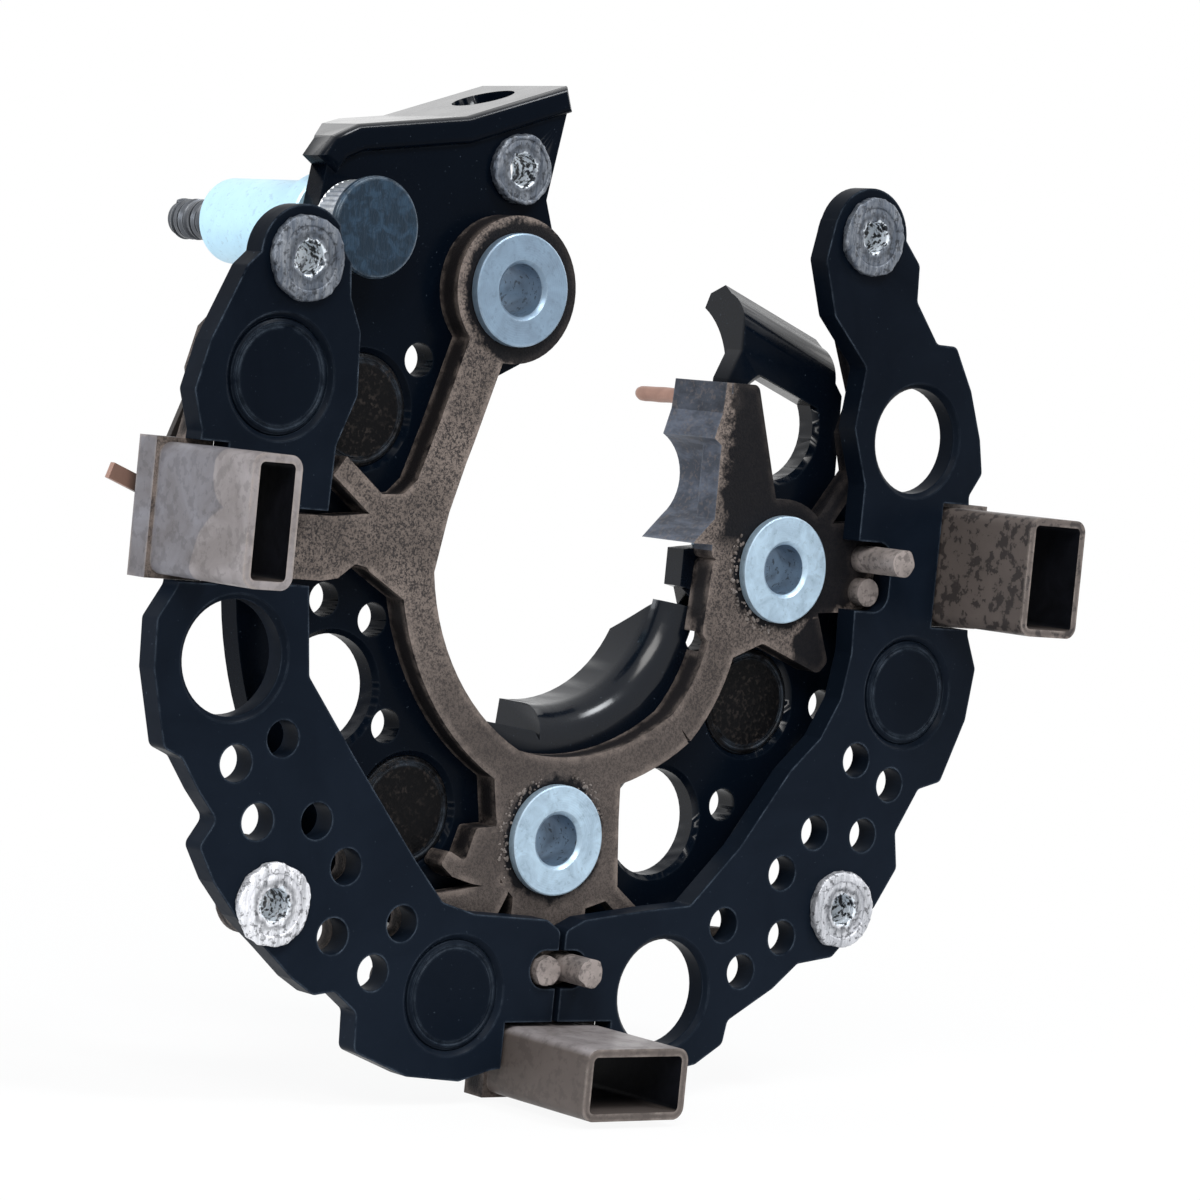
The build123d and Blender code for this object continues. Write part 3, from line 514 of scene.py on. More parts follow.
def rivet_finish(colours):
    """Dull aluminium with deep scratches, brighter on the two lower rivets."""
    f = Finish("Rivet aluminium")
    low = f.span(f.axis("Z"), 0.005, -0.02)
    left = f.span(f.axis("X"), 0.02, -0.02, 0.66, 1.0)
    tint = f.mix(f.both(low, left), colours.rivet_dull, colours.rivet)
    cuts = f.use("Scratches", Scale=420.0, Turn=(0.0, radians(35.0), 0.0), Stretch=(3.6, 1.0, 0.4))
    cross = f.use("Scratches", Scale=520.0, Turn=(0.0, radians(-50.0), 0.0),
                  Stretch=(3.0, 1.0, 0.5))
    base = f.mix(f.both(cuts["Mask"], 0.55), tint, scaled(colours.rivet_dull, 0.55))
    base = f.mix(f.both(cross["Mask"], 0.30), base, (0.55, 0.57, 0.60))
    grit = f.specks(1500.0, 0.70, 0.05)
    base = f.mix(f.both(grit, 0.7), base, (0.012, 0.014, 0.018))
    near = f.away(*centre_of("top_rivet"))
    for x, z in RIVET_SPOTS:
        near = f.maths("MINIMUM", near, f.away(x, z))
    near = f.maths("ADD", near, f.span(f.noise(900.0), 0.3, 0.7, -0.0003, 0.0003))
    stars = f.specks(1250.0, 0.60, 0.03)
    hole = f.mix(stars, (0.010, 0.013, 0.018), (0.78, 0.84, 0.90))
    base = f.mix(f.span(near, 0.0021, 0.0019), base, hole)
    groove = f.both(f.span(near, 0.0022, 0.0024), f.span(near, 0.0030, 0.0026))
    base = f.mix(f.both(groove, 0.55), base, (0.02, 0.025, 0.033))
    f.bump(f.maths("ADD", cuts["Height"], cross["Height"]), 0.6, 0.0004)
    return f.set(Base_Color=base, Roughness=0.46, Metallic=0.5)


def plain_metal(name, tint, dark, metal, rough, grain=700.0, bump=0.2):
    """A metal with cloudy colour and a little tooth."""
    f = Finish(name)
    cloud = f.blotch(260.0, 0.35, 0.68)
    base = f.mix(cloud, tint, scaled(tint, dark))
    bright = [min(1.0, c * 1.5 + 0.12) for c in tint]
    f.paint(f.mix(f.worn_and_highlit_edges(0.0003, 0.8), base, bright))
    f.bump(f.noise(grain, 4.0, 0.65), bump, 0.0002)
    return f.set(Roughness=f.span(cloud, 0.0, 1.0, rough, rough + 0.15), Metallic=metal,
                 Specular_IOR_Level=0.3)


def head_finish(colours):
    """Stud's head: dark plating, mottled and scuffed, with a bright rim that is a painted highlight."""
    f = Finish("Stud head")
    mottle = f.blotch(620.0, 0.46, 0.60)
    scuff = f.use("Scratches", Scale=700.0, Turn=(0.0, radians(20.0), 0.0),
                  Stretch=(2.0, 1.0, 0.5))
    base = f.mix(f.both(mottle, 0.55), colours.head, scaled(colours.head, 2.6))
    base = f.mix(f.both(scuff["Mask"], 0.35), base, scaled(colours.head, 0.35))
    # Painted highlight: a bright rim along the head's bevelled edge.
    f.paint(f.mix(f.worn_and_highlit_edges(0.0005, 0.9), base, (0.42, 0.50, 0.58)))
    f.bump(scuff["Height"], 0.5, 0.0003)
    return f.set(Roughness=0.36, Metallic=0.5, Specular_IOR_Level=0.25)


def post_finish(colours):
    """Terminal posts: tan crushed tips with dark specks, and painted shade darkening the strips behind
    the front fin.
    """
    f = Finish("Terminal post")
    cloud = f.blotch(300.0, 0.35, 0.68)
    tip = f.mix(cloud, colours.post, scaled(colours.post, 0.55))
    tip = f.mix(f.both(f.specks(1250.0, 0.68, 0.05), 0.5), tip, colours.plastic_dark)
    # Painted shade: the strips behind the front fin, between the fins, are darkened.
    behind = f.span(f.axis("Y"), 0.0015, 0.0035)
    base = f.mix(behind, tip, scaled(colours.post, 0.12))
    tail = f.span(f.axis("X"), -0.0555, -0.0570)
    f.paint(f.mix(tail, base, scaled(colours.copper, 0.8)))
    f.bump(f.noise(600.0, 4.0, 0.65), 0.5, 0.0002)
    return f.set(Roughness=0.46, Metallic=0.25, Specular_IOR_Level=0.3)


FINISHES = {
    "fin": lambda c: coat_finish("Fin coat", c, 0.85, 0.28),
    "rear": lambda c: coat_finish("Rear fin coat", c, 0.15, 0.16, 0.08, True),
    "web": web_finish,
    "crumb": lambda c: plain_metal("Plastic crumbs", scaled(c.plastic_tan, 0.7), 0.25, 0.0, 0.6,
                                   900.0, 0.3),
    "tube": tube_finish,
    "inside": tube_inside_painted_light,
    "block": lambda c: block_finish(c, "Moulding block", 1.0),
    # Painted shade: a darker copy of the block's finish for its upper part.
    "block_shaded_top": lambda c: block_finish(c, "Moulding block top, painted shade", 0.6),
    "zinc": lambda c: zinc_finish("Bushing zinc", c.zinc, 0.6, 0.34, 0.42, 0.16, c.zinc_dim),
    "bore": lambda c: zinc_finish("Bore zinc", (0.17, 0.26, 0.37), 0.6, 0.4, 0.5, 0.7),
    "sleeve": lambda c: zinc_finish("Sleeve zinc", c.sleeve, 0.3, 0.30, 0.08, 0.16),
    "rivet": rivet_finish,
    "head": head_finish,
    "collar": lambda c: plain_metal("Stud collar", c.collar, 0.4, 0.7, 0.34, 900.0, 0.4),
    "thread": lambda c: plain_metal("Stud thread", c.thread, 0.5, 0.6, 0.36),
    "diode": lambda c: coat_finish("Diode case", c, 0.5, 0.26, 0.5),
    "resin": resin_finish,
    "post": post_finish,
    "copper": lambda c: plain_metal("Lead copper", c.copper, 0.75, 0.5, 0.35),
}


def finish(context, key):
    """The finish of that name, built the first time it is asked for."""
    label = "finish:" + key
    if label not in context.scene:
        context.scene[label] = FINISHES[key](context.scene.rectifier_colours)
    return context.scene[label]


def node_shape(node):
    """The merged shape of a CAD node, with its flat faces joined."""
    bm = bmesh.new()
    bm.from_mesh(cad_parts[node].data)
    bmesh.ops.remove_doubles(bm, verts=bm.verts, dist=2e-6)
    bmesh.ops.dissolve_limit(bm, angle_limit=radians(0.8), verts=bm.verts, edges=bm.edges)
    return bm


def round_edges(bm, width, segments=2, chosen=None):
    """Round the sharp edges, or only the chosen ones."""
    sharp = [e for e in bm.edges if len(e.link_faces) == 2 and e.calc_face_angle() > radians(28)
             and (chosen is None or chosen(e))]
    if sharp:
        bmesh.ops.bevel(bm, geom=sharp, offset=width, offset_type="OFFSET", segments=segments,
                        profile=0.5, affect="EDGES", clamp_overlap=True)


def shape_object(context, name, bm, materials):
    """A new object from a bmesh, with its materials."""
    mesh = bpy.data.meshes.new(name)
    bm.to_mesh(mesh)
    bm.free()
    for key in materials:
        mesh.materials.append(finish(context, key))
    made = bpy.data.objects.new(name, mesh)
    context.scene.collection.objects.link(made)
    return made


def bake(context, piece):
    """Keep the result of a piece's modifiers as its plain mesh."""
    context.view_layer.update()
    old = piece.data
    seen = piece.evaluated_get(context.evaluated_depsgraph_get())
    piece.data = bpy.data.meshes.new_from_object(seen)
    piece.modifiers.clear()
    bpy.data.meshes.remove(old)


def settle(context, piece, nodes, smooth=25.0):
    """Smooth a piece, even out its normals, hang it on the root body and hide the CAD nodes it stands
    for.
    """
    mesh = piece.data
    mesh.polygons.foreach_set("use_smooth", [True] * len(mesh.polygons))
    mesh.set_sharp_from_angle(angle=radians(smooth))
    bm = bmesh.new()
    bm.from_mesh(mesh)
    for edge in bm.edges:
        if len(edge.link_faces) == 2 and edge.calc_face_angle() > radians(1.5):
            if max(f.calc_area() for f in edge.link_faces) > LARGE_FACE:
                edge.smooth = False
    bm.to_mesh(mesh)
    bm.free()
    piece.modifiers.new("Even normals", "WEIGHTED_NORMAL").keep_sharp = True
    bake(context, piece)
    piece.data.name = piece.name
    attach(piece, "root")
    if nodes:
        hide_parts(*nodes)


def grow(context, piece, tree, values):
    """Run a Geometry Nodes tree on a piece."""
    modifier = piece.modifiers.new(tree.name, "NODES")
    modifier.node_group = tree
    named = {item.name: item.identifier for item in tree.interface.items_tree
             if item.item_type == "SOCKET" and item.in_out == "INPUT"}
    for key, value in values.items():
        modifier[named[key]] = value
    bake(context, piece)


def centre_of(node):
    """Middle of a CAD node across the shaft, in millimetres."""
    low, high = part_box(node)
    return (low.x + high.x) / 2 / MM, (low.z + high.z) / 2 / MM


def roughen(bm, amount, size, chosen):
    """Push the chosen vertices about by smooth noise, the same in each run."""
    noise.seed_set(ROUGH_SEED)
    for vert in bm.verts:
        if chosen(vert.co):
            vert.co += noise.noise_vector(vert.co / size) * amount


def lathe(node, profiles, steps=96):
    """Turn profiles of (radius, depth) points about a CAD node's middle; each has its material."""
    x, z = centre_of(node)
    bm = bmesh.new()
    for material, profile in enumerate(profiles):
        rings = []
        for radius, y in profile:
            if radius > 0.0:
                turns = [2 * pi * i / steps for i in range(steps)]
                rings.append([bm.verts.new(((x + radius * cos(a)) * MM, y * MM,
                                            (z + radius * sin(a)) * MM)) for a in turns])
            else:
                rings.append([bm.verts.new((x * MM, y * MM, z * MM))] * steps)
        for inner, outer in zip(rings, rings[1:]):
            for i in range(steps):
                j = (i + 1) % steps
                corners = dict.fromkeys((inner[i], outer[i], outer[j], inner[j]))
                bm.faces.new(list(corners)).material_index = material
    bmesh.ops.remove_doubles(bm, verts=bm.verts, dist=1e-6)
    bmesh.ops.recalc_face_normals(bm, faces=bm.faces)
    return bm


def loose_points(places, depth):
    """Points across the shaft, for a tree to work on."""
    bm = bmesh.new()
    for x, z in places:
        bm.verts.new((x * MM, depth * MM, z * MM))
    return bm


def dress(context, name, bm, keys, nodes, smooth=25.0, tree=None, values=None):
    """Make an object of a mesh, grow its tree if it has one, and settle it."""
    piece = shape_object(context, name, bm, keys)
    if tree:
        grow(context, piece, geometry_group(tree), {**values, "Material": finish(context, keys[0])})
    settle(context, piece, nodes, smooth)


def laid(graph, thing, degrees=90.0):
    """A thing turned from upright to lie along the shaft."""
    return graph.geo("Transform", {"Geometry": thing, "Rotation": (radians(degrees), 0.0, 0.0)})


def copies(graph, points, thing, **values):
    """Real copies of a thing on points."""
    put = graph.geo("InstanceOnPoints", {"Points": points, "Instance": thing, **values})
    return graph.geo("RealizeInstances", {0: put})


def ring_section(graph, inner, outer, front, back, steps):
    """A ring about the shaft's direction, from its two radii and its two depths."""
    middle = graph.both(graph.maths("ADD", inner, outer), 0.5)
    path = graph.geo("CurvePrimitiveCircle", {"Radius": middle, "Resolution": steps})
    upright = graph.geo("SetCurveNormal", {0: path}, mode="Z_UP")
    wide = graph.maths("SUBTRACT", outer, inner)
    deep = graph.maths("SUBTRACT", back, front)
    section = graph.geo("CurvePrimitiveQuadrilateral", {"Width": wide, "Height": deep})
    soft = graph.geo("FilletCurve", {0: section, "Radius": 0.00025, "Limit Radius": True,
                                     "Count": 3}, mode="POLY")
    swept = graph.geo("CurveToMesh", {0: upright, 1: soft})
    level = graph.both(graph.maths("ADD", front, back), -0.5)
    lift = graph.node("ShaderNodeCombineXYZ", {2: level}).outputs[0]
    return laid(graph, graph.geo("Transform", {"Geometry": swept, "Translation": lift}))


def fill_rivets(graph, given):
    """Hollow rivets on points: a ragged head, a shank and a set head."""
    head, bore, shank, rolled = (graph.both(given[part + " Diameter"], 0.5)
                                 for part in ("Head", "Bore", "Shank", "Set"))
    up = graph.both(given["Head Height"], -1.0)
    grip = given["Grip"]
    joined = graph.node("GeometryNodeJoinGeometry")
    for ring in (
            ring_section(graph, graph.both(bore, 1.9), head, up, 0.0, 96),
            ring_section(graph, bore, graph.both(bore, 2.05), graph.both(up, 0.82), 0.0, 96),
            ring_section(graph, bore, shank, -0.0002, graph.maths("ADD", grip, 0.0002), 48),
            ring_section(graph, bore, rolled, grip, graph.maths("ADD", grip, given["Set Height"]),
                         64)):
        graph.tree.links.new(ring, joined.inputs[0])
    finer = graph.geo("SubdivideMesh", {"Mesh": joined.outputs[0], "Level": 1})
    place = graph.geo("InputPosition")
    across = graph.vector("MULTIPLY", place, (1.0, 0.0, 1.0))
    rim = graph.maths("DIVIDE", graph.measure("LENGTH", across), head)
    rivet = graph.geo("StoreNamedAttribute", {"Geometry": finer, "Name": "rim", "Value": rim},
                      data_type="FLOAT", domain="POINT")
    angle = graph.random("FLOAT", given["Seed"], 0.0, 6.28)
    turn = graph.node("ShaderNodeCombineXYZ", {1: angle}).outputs[0]
    real = copies(graph, given["Geometry"], rivet, Rotation=turn)
    read = graph.geo("InputNamedAttribute", {"Name": "rim"}, data_type="FLOAT")
    share = graph.span(read, 0.72, 1.0, 0.12, 1.0)
    wild = graph.clouds(graph.geo("InputPosition"), 260.0, 5.0, 0.62).node.outputs[1]
    push = graph.vector("SUBTRACT", wild, (0.50, 0.44, 0.50))
    rag = graph.both(share, graph.both(given["Rag"], 3.0))
    return graph.geo("SetPosition", {"Geometry": real, "Offset": graph.stretched(push, rag)})


def fill_ribs(graph, given):
    """Ribs round a cylinder, along the shaft."""
    rib = graph.geo("MeshCylinder", {"Vertices": 6, "Depth": given["Length"],
                                     "Radius": graph.both(given["Rib"], 0.5)})
    circle = graph.geo("MeshCircle", {"Vertices": given["Count"], "Radius": given["Radius"]})
    return copies(graph, given["Geometry"], laid(graph, copies(graph, circle, rib)))


def fill_thread(graph, given):
    """A helical thread along the shaft, from its pitch, crest and length."""
    turns = graph.maths("DIVIDE", given["Length"], given["Pitch"])
    tooth = graph.both(given["Pitch"], 0.46)
    middle = graph.maths("SUBTRACT", given["Crest"], tooth)
    spiral = graph.geo("CurveSpiral", {"Resolution": 40, "Rotations": turns, "Start Radius": middle,
                                       "End Radius": middle, "Height": given["Length"]})
    section = graph.geo("CurvePrimitiveCircle", {"Resolution": 4, "Radius": tooth})
    swept = graph.geo("CurveToMesh", {0: spiral, 1: section, "Fill Caps": True})
    return copies(graph, given["Geometry"], laid(graph, swept, -90.0))


def fill_crumbs(graph, given):
    """Crumbs strewn over a patch and sunk a little into it."""
    seed = given["Seed"]
    points = graph.geo("DistributePointsOnFaces", {"Mesh": given["Geometry"], "Seed": seed,
                                                   "Density": given["Per Area"]})
    ball = graph.geo("MeshIcoSphere", {"Radius": 0.5, "Subdivisions": 1})
    turn = graph.random("FLOAT_VECTOR", seed, (0.0, 0.0, 0.0), (6.28, 6.28, 6.28))
    size = graph.random("FLOAT", seed, given["Smallest"], given["Largest"])
    shape = graph.random("FLOAT_VECTOR", seed, (0.55, 0.55, 0.55), (1.35, 1.0, 1.0))
    return copies(graph, points, ball, Rotation=turn, Scale=graph.stretched(shape, size))


TREES = {
    "Hollow Rivets": ([("Head Diameter", FLOAT, 0.0103), ("Bore Diameter", FLOAT, 0.0036),
                       ("Shank Diameter", FLOAT, 0.0052), ("Set Diameter", FLOAT, 0.0072),
                       ("Head Height", FLOAT, 0.0011), ("Set Height", FLOAT, 0.0008),
                       ("Grip", FLOAT, 0.005), ("Rag", FLOAT, 0.0004), ("Seed", COUNT, 3)],
                      fill_rivets),
    "Knurl Ribs": ([("Count", COUNT, 40), ("Radius", FLOAT, 0.005), ("Rib", FLOAT, 0.0005),
                    ("Length", FLOAT, 0.0035)], fill_ribs),
    "Screw Thread": ([("Crest", FLOAT, 0.0024), ("Pitch", FLOAT, 0.0009),
                      ("Length", FLOAT, 0.009)], fill_thread),
    "Strewn Crumbs": ([("Per Area", FLOAT, 3.0e6), ("Smallest", FLOAT, 0.0002),
                       ("Largest", FLOAT, 0.0007), ("Seed", COUNT, 5)], fill_crumbs),
}


def geometry_group(name):
    """Build a geometry group once, with its material at the end, and hand back its tree."""
    if name not in bpy.data.node_groups:
        inputs, fill = TREES[name]
        inputs = [("Geometry", GEOMETRY, None)] + inputs + [("Material", MATERIAL, None)]
        graph, given, wanted = group_tree(name, "GeometryNodeTree", inputs, [("Geometry", GEOMETRY)])
        graph.feed(wanted[0], graph.geo("SetMaterial", {"Geometry": fill(graph, given),
                                                        "Material": given["Material"]}))
    return bpy.data.node_groups[name]


@maker
class RECTIFIER_OT_fins(bpy.types.Operator):
    """Round the edges of the three fins and give them their coat"""
    bl_idname = "rectifier.fins"
    bl_label = "Fins"

    def execute(self, context):
        sizes = context.scene.rectifier_sizes

        def is_flange(edge):
            """Front edges of the top flange, which stands in front of the plate."""
            return all(abs(v.co.y - REAR_FRONT * MM) < 1e-5 and v.co.z > 40 * MM
                       for v in edge.verts)

        for node, key in (("front_fin_left", "fin"), ("front_fin_right", "fin"),
                          ("rear_fin", "rear")):
            bm = node_shape(node)
            if key == "rear":
                round_edges(bm, sizes.bend, 4, is_flange)
            round_edges(bm, sizes.fin_edge)
            dress(context, "coated_" + node, bm, [key], [node])
        return {"FINISHED"}


@maker
class RECTIFIER_OT_moulding(bpy.types.Operator):
    """Round the moulding and give its tubes, webs and block their own finishes"""
    bl_idname = "rectifier.moulding"
    bl_label = "Terminal moulding"

    def execute(self, context):
        sizes = context.scene.rectifier_sizes
        bm = node_shape("terminal_moulding")
        round_edges(bm, sizes.moulding_edge)
        keys = ["web", "tube", "inside", "block", "block_shaded_top"]
        web, tube, inside, block, block_shaded_top = range(len(keys))
        for face in bm.faces:
            c = face.calc_center_median() / MM
            face.material_index = web
            for x, z, width, height in TUBES:
                dx, dz = abs(c.x - x) - width / 2, abs(c.z - z) - height / 2
                if dx < 0.2 and dz < 0.2 and c.y < 3.2:
                    face.material_index = tube
                if dx < -0.7 and dz < -0.7 and abs(face.normal.y) < 0.7:
                    face.material_index = inside
            if c.x < -52.0 and abs(c.z - 4.1) < 9.0 and c.y < 6.9 and face.material_index == web:
                face.material_index = tube
            if 15.0 < c.x < 21.6 and 4.0 < c.z < 24.2:
                # The upper part of the block takes the darker copy, as painted shade.
                face.material_index = block_shaded_top if c.z > 20.0 else block
        dress(context, "grained_moulding", bm, keys, ["terminal_moulding"])
        return {"FINISHED"}


@maker
class RECTIFIER_OT_diodes(bpy.types.Operator):
    """Diode cases with a rim, a shallow groove and a lead"""
    bl_idname = "rectifier.diodes"
    bl_label = "Diodes"

    def execute(self, context):
        for kind, face, key in (("negative", 0.2, "diode"), ("positive", 6.6, "resin")):
            back = face + 5.8
            profile = [(0.0, face), (5.30, face), (5.42, face + 0.12), (5.62, face + 0.12),
                       (5.74, face), (5.95, face + 0.02), (6.25, face + 0.2), (6.4, face + 0.5),
                       (6.4, back - 0.2), (6.2, back), (4.6, back), (4.4, back - 0.4),
                       (1.6, back - 0.4), (0.7, back), (0.7, 13.6), (0.5, 13.8), (0.0, 13.8)]
            for side in SIDES:
                node = kind + "_diode_" + side
                dress(context, "case_" + node, lathe(node, [profile], 72), [key], [node])
        return {"FINISHED"}


@maker
class RECTIFIER_OT_rivets(bpy.types.Operator):
    """Hollow rivets with ragged, scratched heads"""
    bl_idname = "rectifier.rivets"
    bl_label = "Rivets"

    def execute(self, context):
        rag = context.scene.rectifier_sizes.rivet_rag
        low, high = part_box("top_rivet")
        for node, places, depth, head, grip in (
                ("front_rivets", RIVET_SPOTS, 0.0, 0.0103, 0.005),
                ("top_rivet", [centre_of("top_rivet")], 6.4, high.x - low.x, 0.003)):
            dress(context, "ragged_" + node, loose_points(places, depth), ["rivet"], [node],
                  60.0, "Hollow Rivets",
                  {"Head Diameter": head - 2.2 * rag, "Grip": grip, "Rag": rag})
        return {"FINISHED"}


@maker
class RECTIFIER_OT_stud(bpy.types.Operator):
    """Stud with a bevelled head, a knurled collar and its thread"""
    bl_idname = "rectifier.stud"
    bl_label = "B+ stud"

    def execute(self, context):
        sizes = context.scene.rectifier_sizes
        head = [(0.0, 1.5), (5.15, 1.5), (5.45, 1.58), (5.65, 1.85), (5.65, 2.45), (5.5, 2.6),
                (5.0, 2.6)]
        collar = [(5.0, 2.6), (4.95, 2.7), (4.95, 6.3), (5.1, 6.4), (4.0, 6.4), (4.0, 9.4),
                  (3.0, 9.4), (3.0, 31.0), (2.0, STUD_END)]
        core = [(2.0, STUD_END), (2.0, 40.9), (1.6, 41.3), (0.0, 41.3)]
        dress(context, "turned_stud", lathe("b_plus_stud", [head, collar, core]),
              ["head", "collar", "thread"], ["b_plus_stud"])
        for name, key, depth, tree, values in (
                ("collar_knurling", "collar", 4.5, "Knurl Ribs", {
                    "Count": sizes.rib_count, "Radius": 5.2 * MM - sizes.rib_d / 2,
                    "Rib": sizes.rib_d, "Length": 3.5 * MM}),
                ("stud_thread", "thread", 31.3, "Screw Thread", {
                    "Crest": 2.4 * MM, "Pitch": sizes.pitch, "Length": 9.3 * MM})):
            dress(context, name, loose_points([centre_of("b_plus_stud")], depth), [key], [],
                  30.0, tree, values)
        return {"FINISHED"}


@maker
class RECTIFIER_OT_sleeve(bpy.types.Operator):
    """Plated sleeve over the stud"""
    bl_idname = "rectifier.sleeve"
    bl_label = "Stud sleeve"

    def execute(self, context):
        profile = [(3.0, 9.4), (5.7, 9.4), (5.95, 9.65), (5.95, 12.1), (5.7, 12.4), (5.1, 12.45),
                   (4.9, 12.7), (4.9, 29.7), (4.82, 29.88), (3.78, 30.92), (3.6, 31.0), (3.1, 31.0),
                   (3.0, 30.9), (3.0, 9.4)]
        dress(context, "plated_sleeve", lathe("stud_sleeve", [profile]), ["sleeve"],
              ["stud_sleeve"])
        return {"FINISHED"}


@maker
class RECTIFIER_OT_bushings(bpy.types.Operator):
    """Turned bushings with concentric tool marks, and their washers"""
    bl_idname = "rectifier.bushings"
    bl_label = "Bushings and washers"

    def execute(self, context):
        outside = [(3.0, 2.35), (3.12, 2.16), (3.45, 1.92), (3.6, 1.9)]
        for i in range(9):
            radius = 3.75 + 0.27 * i
            outside += [(radius, 1.9), (radius + 0.09, 1.915), (radius + 0.18, 1.9)]
        outside += [(6.25, 1.9), (6.4, 1.98), (6.45, 2.15), (6.45, 2.9), (6.35, 3.0), (4.3, 3.0),
                    (4.3, 10.6), (5.2, 10.6), (5.4, 10.8), (5.36, 11.15), (5.0, 11.4), (3.5, 11.4),
                    (3.1, 11.2), (3.0, 11.0)]
        bore = [(3.0, 11.0), (3.0, 2.35)]
        ring = [(4.3, 9.5), (4.4, 9.4), (8.0, 9.4), (8.2, 9.6), (8.2, 10.4), (8.0, 10.6),
                (4.4, 10.6), (4.3, 10.5), (4.3, 9.5)]
        for side in ("top", "right", "bottom"):
            node, washer = "bushing_" + side, "bushing_washer_" + side
            dress(context, "turned_" + node, lathe(node, [outside, bore]), ["zinc", "bore"],
                  [node])
            dress(context, "plated_" + washer, lathe(washer, [ring]), ["zinc"], [washer])
        return {"FINISHED"}


def ring_patch(centre, inner, outer, y, first, last):
    """A flat part of a ring across the shaft, in millimetres and degrees."""
    bm = bmesh.new()
    rows = []
    for i in range(13):
        a = radians(first + (last - first) * i / 12)
        rows.append([bm.verts.new(((centre[0] + r * cos(a)) * MM, y * MM,
                                   (centre[1] + r * sin(a)) * MM)) for r in (inner, outer)])
    for one, two in zip(rows, rows[1:]):
        bm.faces.new((one[0], one[1], two[1], two[0]))
    return bm


@maker
class RECTIFIER_OT_crumbs(bpy.types.Operator):
    """Crumbs of broken plastic round the two lower bushings"""
    bl_idname = "rectifier.crumbs"
    bl_label = "Crumbs"

    def execute(self, context):
        largest = context.scene.rectifier_sizes.crumb_d
        jobs = (("crumbs_bottom_upper", "bushing_bottom", 20, 75),
                ("crumbs_bottom_left", "bushing_bottom", 110, 215),
                ("crumbs_right", "bushing_right", 150, 265))
        for seed, (name, bushing, first, last) in enumerate(jobs):
            patch = ring_patch(centre_of(bushing), 6.6, 8.0, 3.0, first, last)
            dress(context, name, patch, ["crumb"], [], 20.0, "Strewn Crumbs",
                  {"Largest": largest, "Seed": seed})
        return {"FINISHED"}


@maker
class RECTIFIER_OT_terminals(bpy.types.Operator):
    """Terminal strips with crushed posts"""
    bl_idname = "rectifier.terminals"
    bl_label = "Stator terminals"

    def execute(self, context):
        edge = context.scene.rectifier_sizes.metal_edge * 2.2
        for side in SIDES:
            node = "stator_terminal_" + side
            bm = node_shape(node)
            round_edges(bm, edge, 3)
            roughen(bm, 0.00022, 0.0011, lambda p: p.y < MM)
            dress(context, "crushed_" + node, bm, ["post"], [node], 60.0)
        return {"FINISHED"}


@maker
class RECTIFIER_OT_lead(bpy.types.Operator):
    """Copper lead of the regulator, with a drawn end"""
    bl_idname = "rectifier.lead"
    bl_label = "Regulator lead"

    def execute(self, context):
        profile = [(0.0, 3.0)] + [(0.9, 3.0 + 0.5 * i) for i in range(34)]
        profile += [(0.86, 20.2), (0.72, 20.7), (0.4, 20.95), (0.0, 21.0)]
        bm = lathe("regulator_lead", [profile], 24)
        roughen(bm, 0.00009, 0.002, lambda p: 13 * MM < p.y < 20.6 * MM)
        for face in bm.faces:
            if face.calc_center_median().y < 3.2 * MM:
                face.material_index = 1
        dress(context, "drawn_lead", bm, ["copper", "web"], ["regulator_lead"], 60.0)
        return {"FINISHED"}


def light_world(scene):
    """Pale blue light from all round, seen as plain white."""
    world = bpy.data.worlds.new("Pale studio")
    world.use_nodes = True
    scene.world = world
    graph = Graph(world.node_tree)
    back = world.node_tree.nodes["Background"]
    back.inputs[0].default_value = (0.86, 0.93, 1.0, 1)
    back.inputs[1].default_value = 0.42
    white = graph.node("ShaderNodeBackground", {0: (1, 1, 1, 1), 1: 1.0})
    both = graph.node("ShaderNodeMixShader", {0: graph.seen(), 1: back.outputs[0],
                                              2: white.outputs[0]})
    graph.feed(world.node_tree.nodes["World Output"].inputs[0], both.outputs[0])


def lay_floor(context):
    """A pale floor that fades to plain white round the part and keeps its shadow."""
    bm = bmesh.new()
    bmesh.ops.create_grid(bm, x_segments=1, y_segments=1, size=1.5)
    bmesh.ops.translate(bm, verts=bm.verts, vec=(0, 0, CAD_BOX[0][2] - 0.0004))
    floor = shape_object(context, "floor", bm, [])
    f = Finish("Pale floor")
    f.set(Base_Color=(0.9, 0.9, 0.9), Roughness=0.9)
    white = f.node("ShaderNodeEmission", {"Color": (1, 1, 1, 1), "Strength": 1.0})
    clean = f.span(f.measure("LENGTH", f.place), 0.09, 0.24, 0.92, 1.0)
    mixed = f.node("ShaderNodeMixShader", {0: f.both(f.seen(), clean), 1: f.shader.outputs[0],
                                           2: white.outputs[0]})
    f.feed(f.tree.nodes["Material Output"].inputs[0], mixed.outputs[0])
    floor.data.materials.append(f.material)


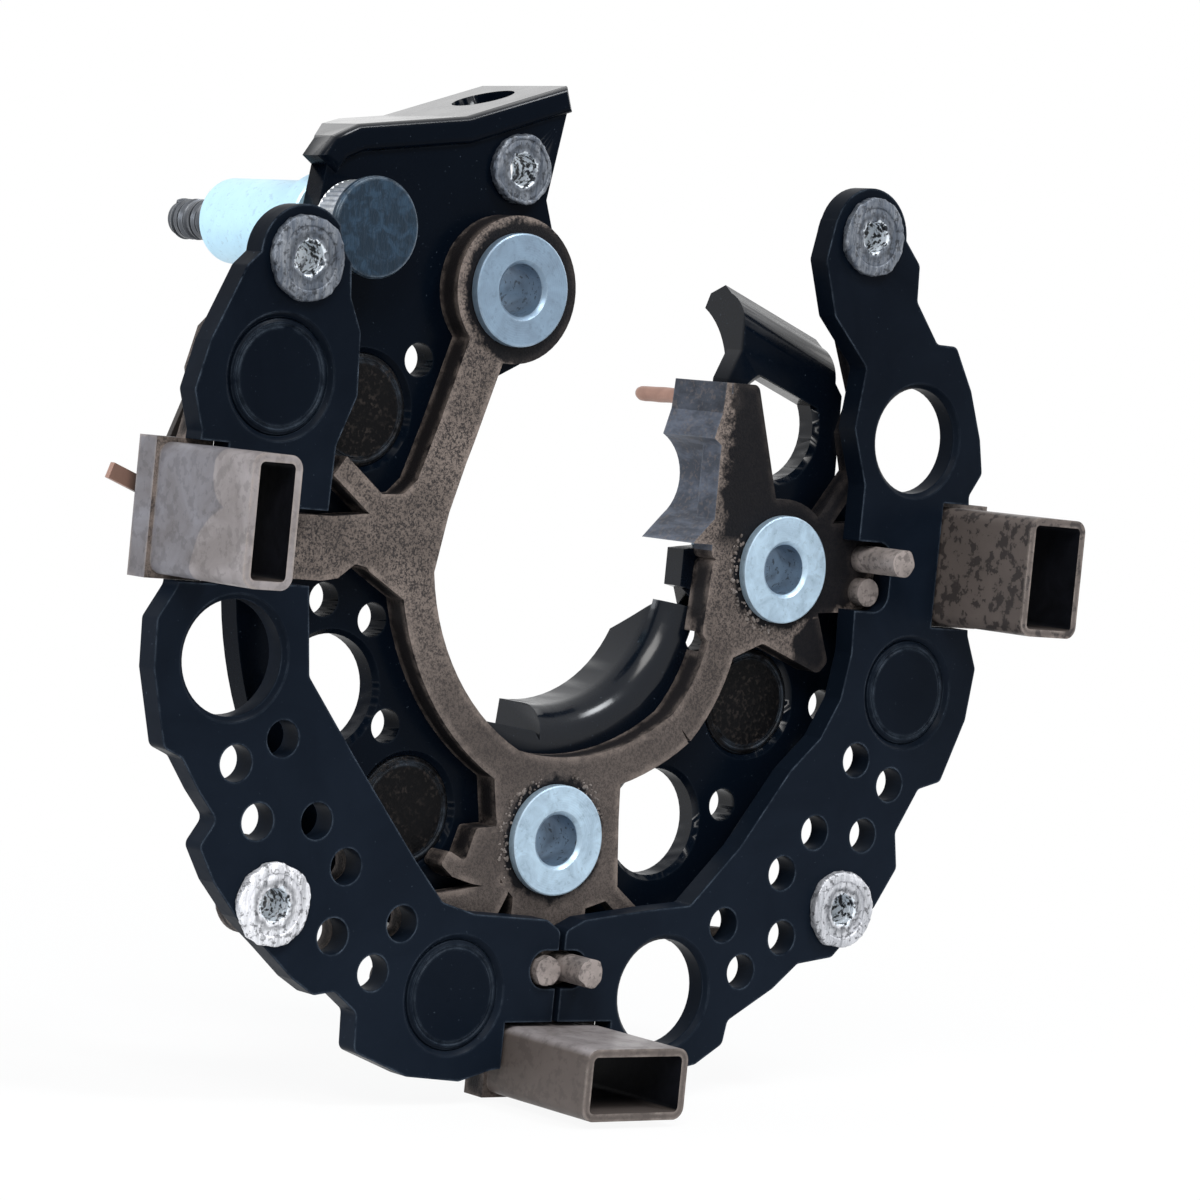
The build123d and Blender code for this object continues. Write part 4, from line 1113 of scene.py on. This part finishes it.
@maker
class RECTIFIER_OT_stage(bpy.types.Operator):
    """Floor, plain soft light and the photograph's camera"""
    bl_idname = "rectifier.stage"
    bl_label = "Stage"

    def execute(self, context):
        scene = context.scene
        scene.view_settings.view_transform = "Standard"
        light_world(scene)
        lay_floor(context)
        for name, place, size, power, tint in LAMPS:
            lamp = bpy.data.lights.new(name, "AREA")
            lamp.size = size
            lamp.energy = power
            lamp.color = tint
            made = bpy.data.objects.new(name, lamp)
            made.location = place
            made.rotation_euler = (-Vector(place)).to_track_quat("-Z", "Y").to_euler()
            scene.collection.objects.link(made)
        data = bpy.data.cameras.new("camera")
        data.sensor_width = 36.0
        data.lens = CAMERA_LENS
        data.clip_start = 0.01
        camera = bpy.data.objects.new("camera", data)
        turn = Matrix(CAMERA_AXES).transposed()
        camera.matrix_world = Matrix.Translation(CAMERA_PLACE) @ turn.to_4x4()
        scene.collection.objects.link(camera)
        scene.camera = camera
        return {"FINISHED"}


class RECTIFIER_PT_panel(bpy.types.Panel):
    """Buttons and settings of the rectifier"""
    bl_idname = "RECTIFIER_PT_panel"
    bl_label = "Rectifier"
    bl_space_type = "VIEW_3D"
    bl_region_type = "UI"
    bl_category = "Rectifier"

    def draw(self, context):
        layout = self.layout
        for group in (context.scene.rectifier_sizes, context.scene.rectifier_colours):
            box = layout.box()
            for key in group.__annotations__:
                box.prop(group, key)
        for cls in MAKERS:
            layout.operator(cls.bl_idname)


CLASSES = [RectifierSizes, RectifierColours] + MAKERS + [RECTIFIER_PT_panel]


def register():
    for cls in CLASSES:
        bpy.utils.register_class(cls)
    bpy.types.Scene.rectifier_sizes = PointerProperty(type=RectifierSizes)
    bpy.types.Scene.rectifier_colours = PointerProperty(type=RectifierColours)


def unregister():
    del bpy.types.Scene.rectifier_sizes
    del bpy.types.Scene.rectifier_colours
    for cls in reversed(CLASSES):
        bpy.utils.unregister_class(cls)


def main():
    """Register the add-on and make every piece."""
    register()
    for cls in MAKERS:
        group, name = cls.bl_idname.split(".")
        result = getattr(getattr(bpy.ops, group), name)()
        if "FINISHED" not in result:
            raise RuntimeError(cls.bl_idname + " did not finish")


if __name__ == "__main__":
    main()
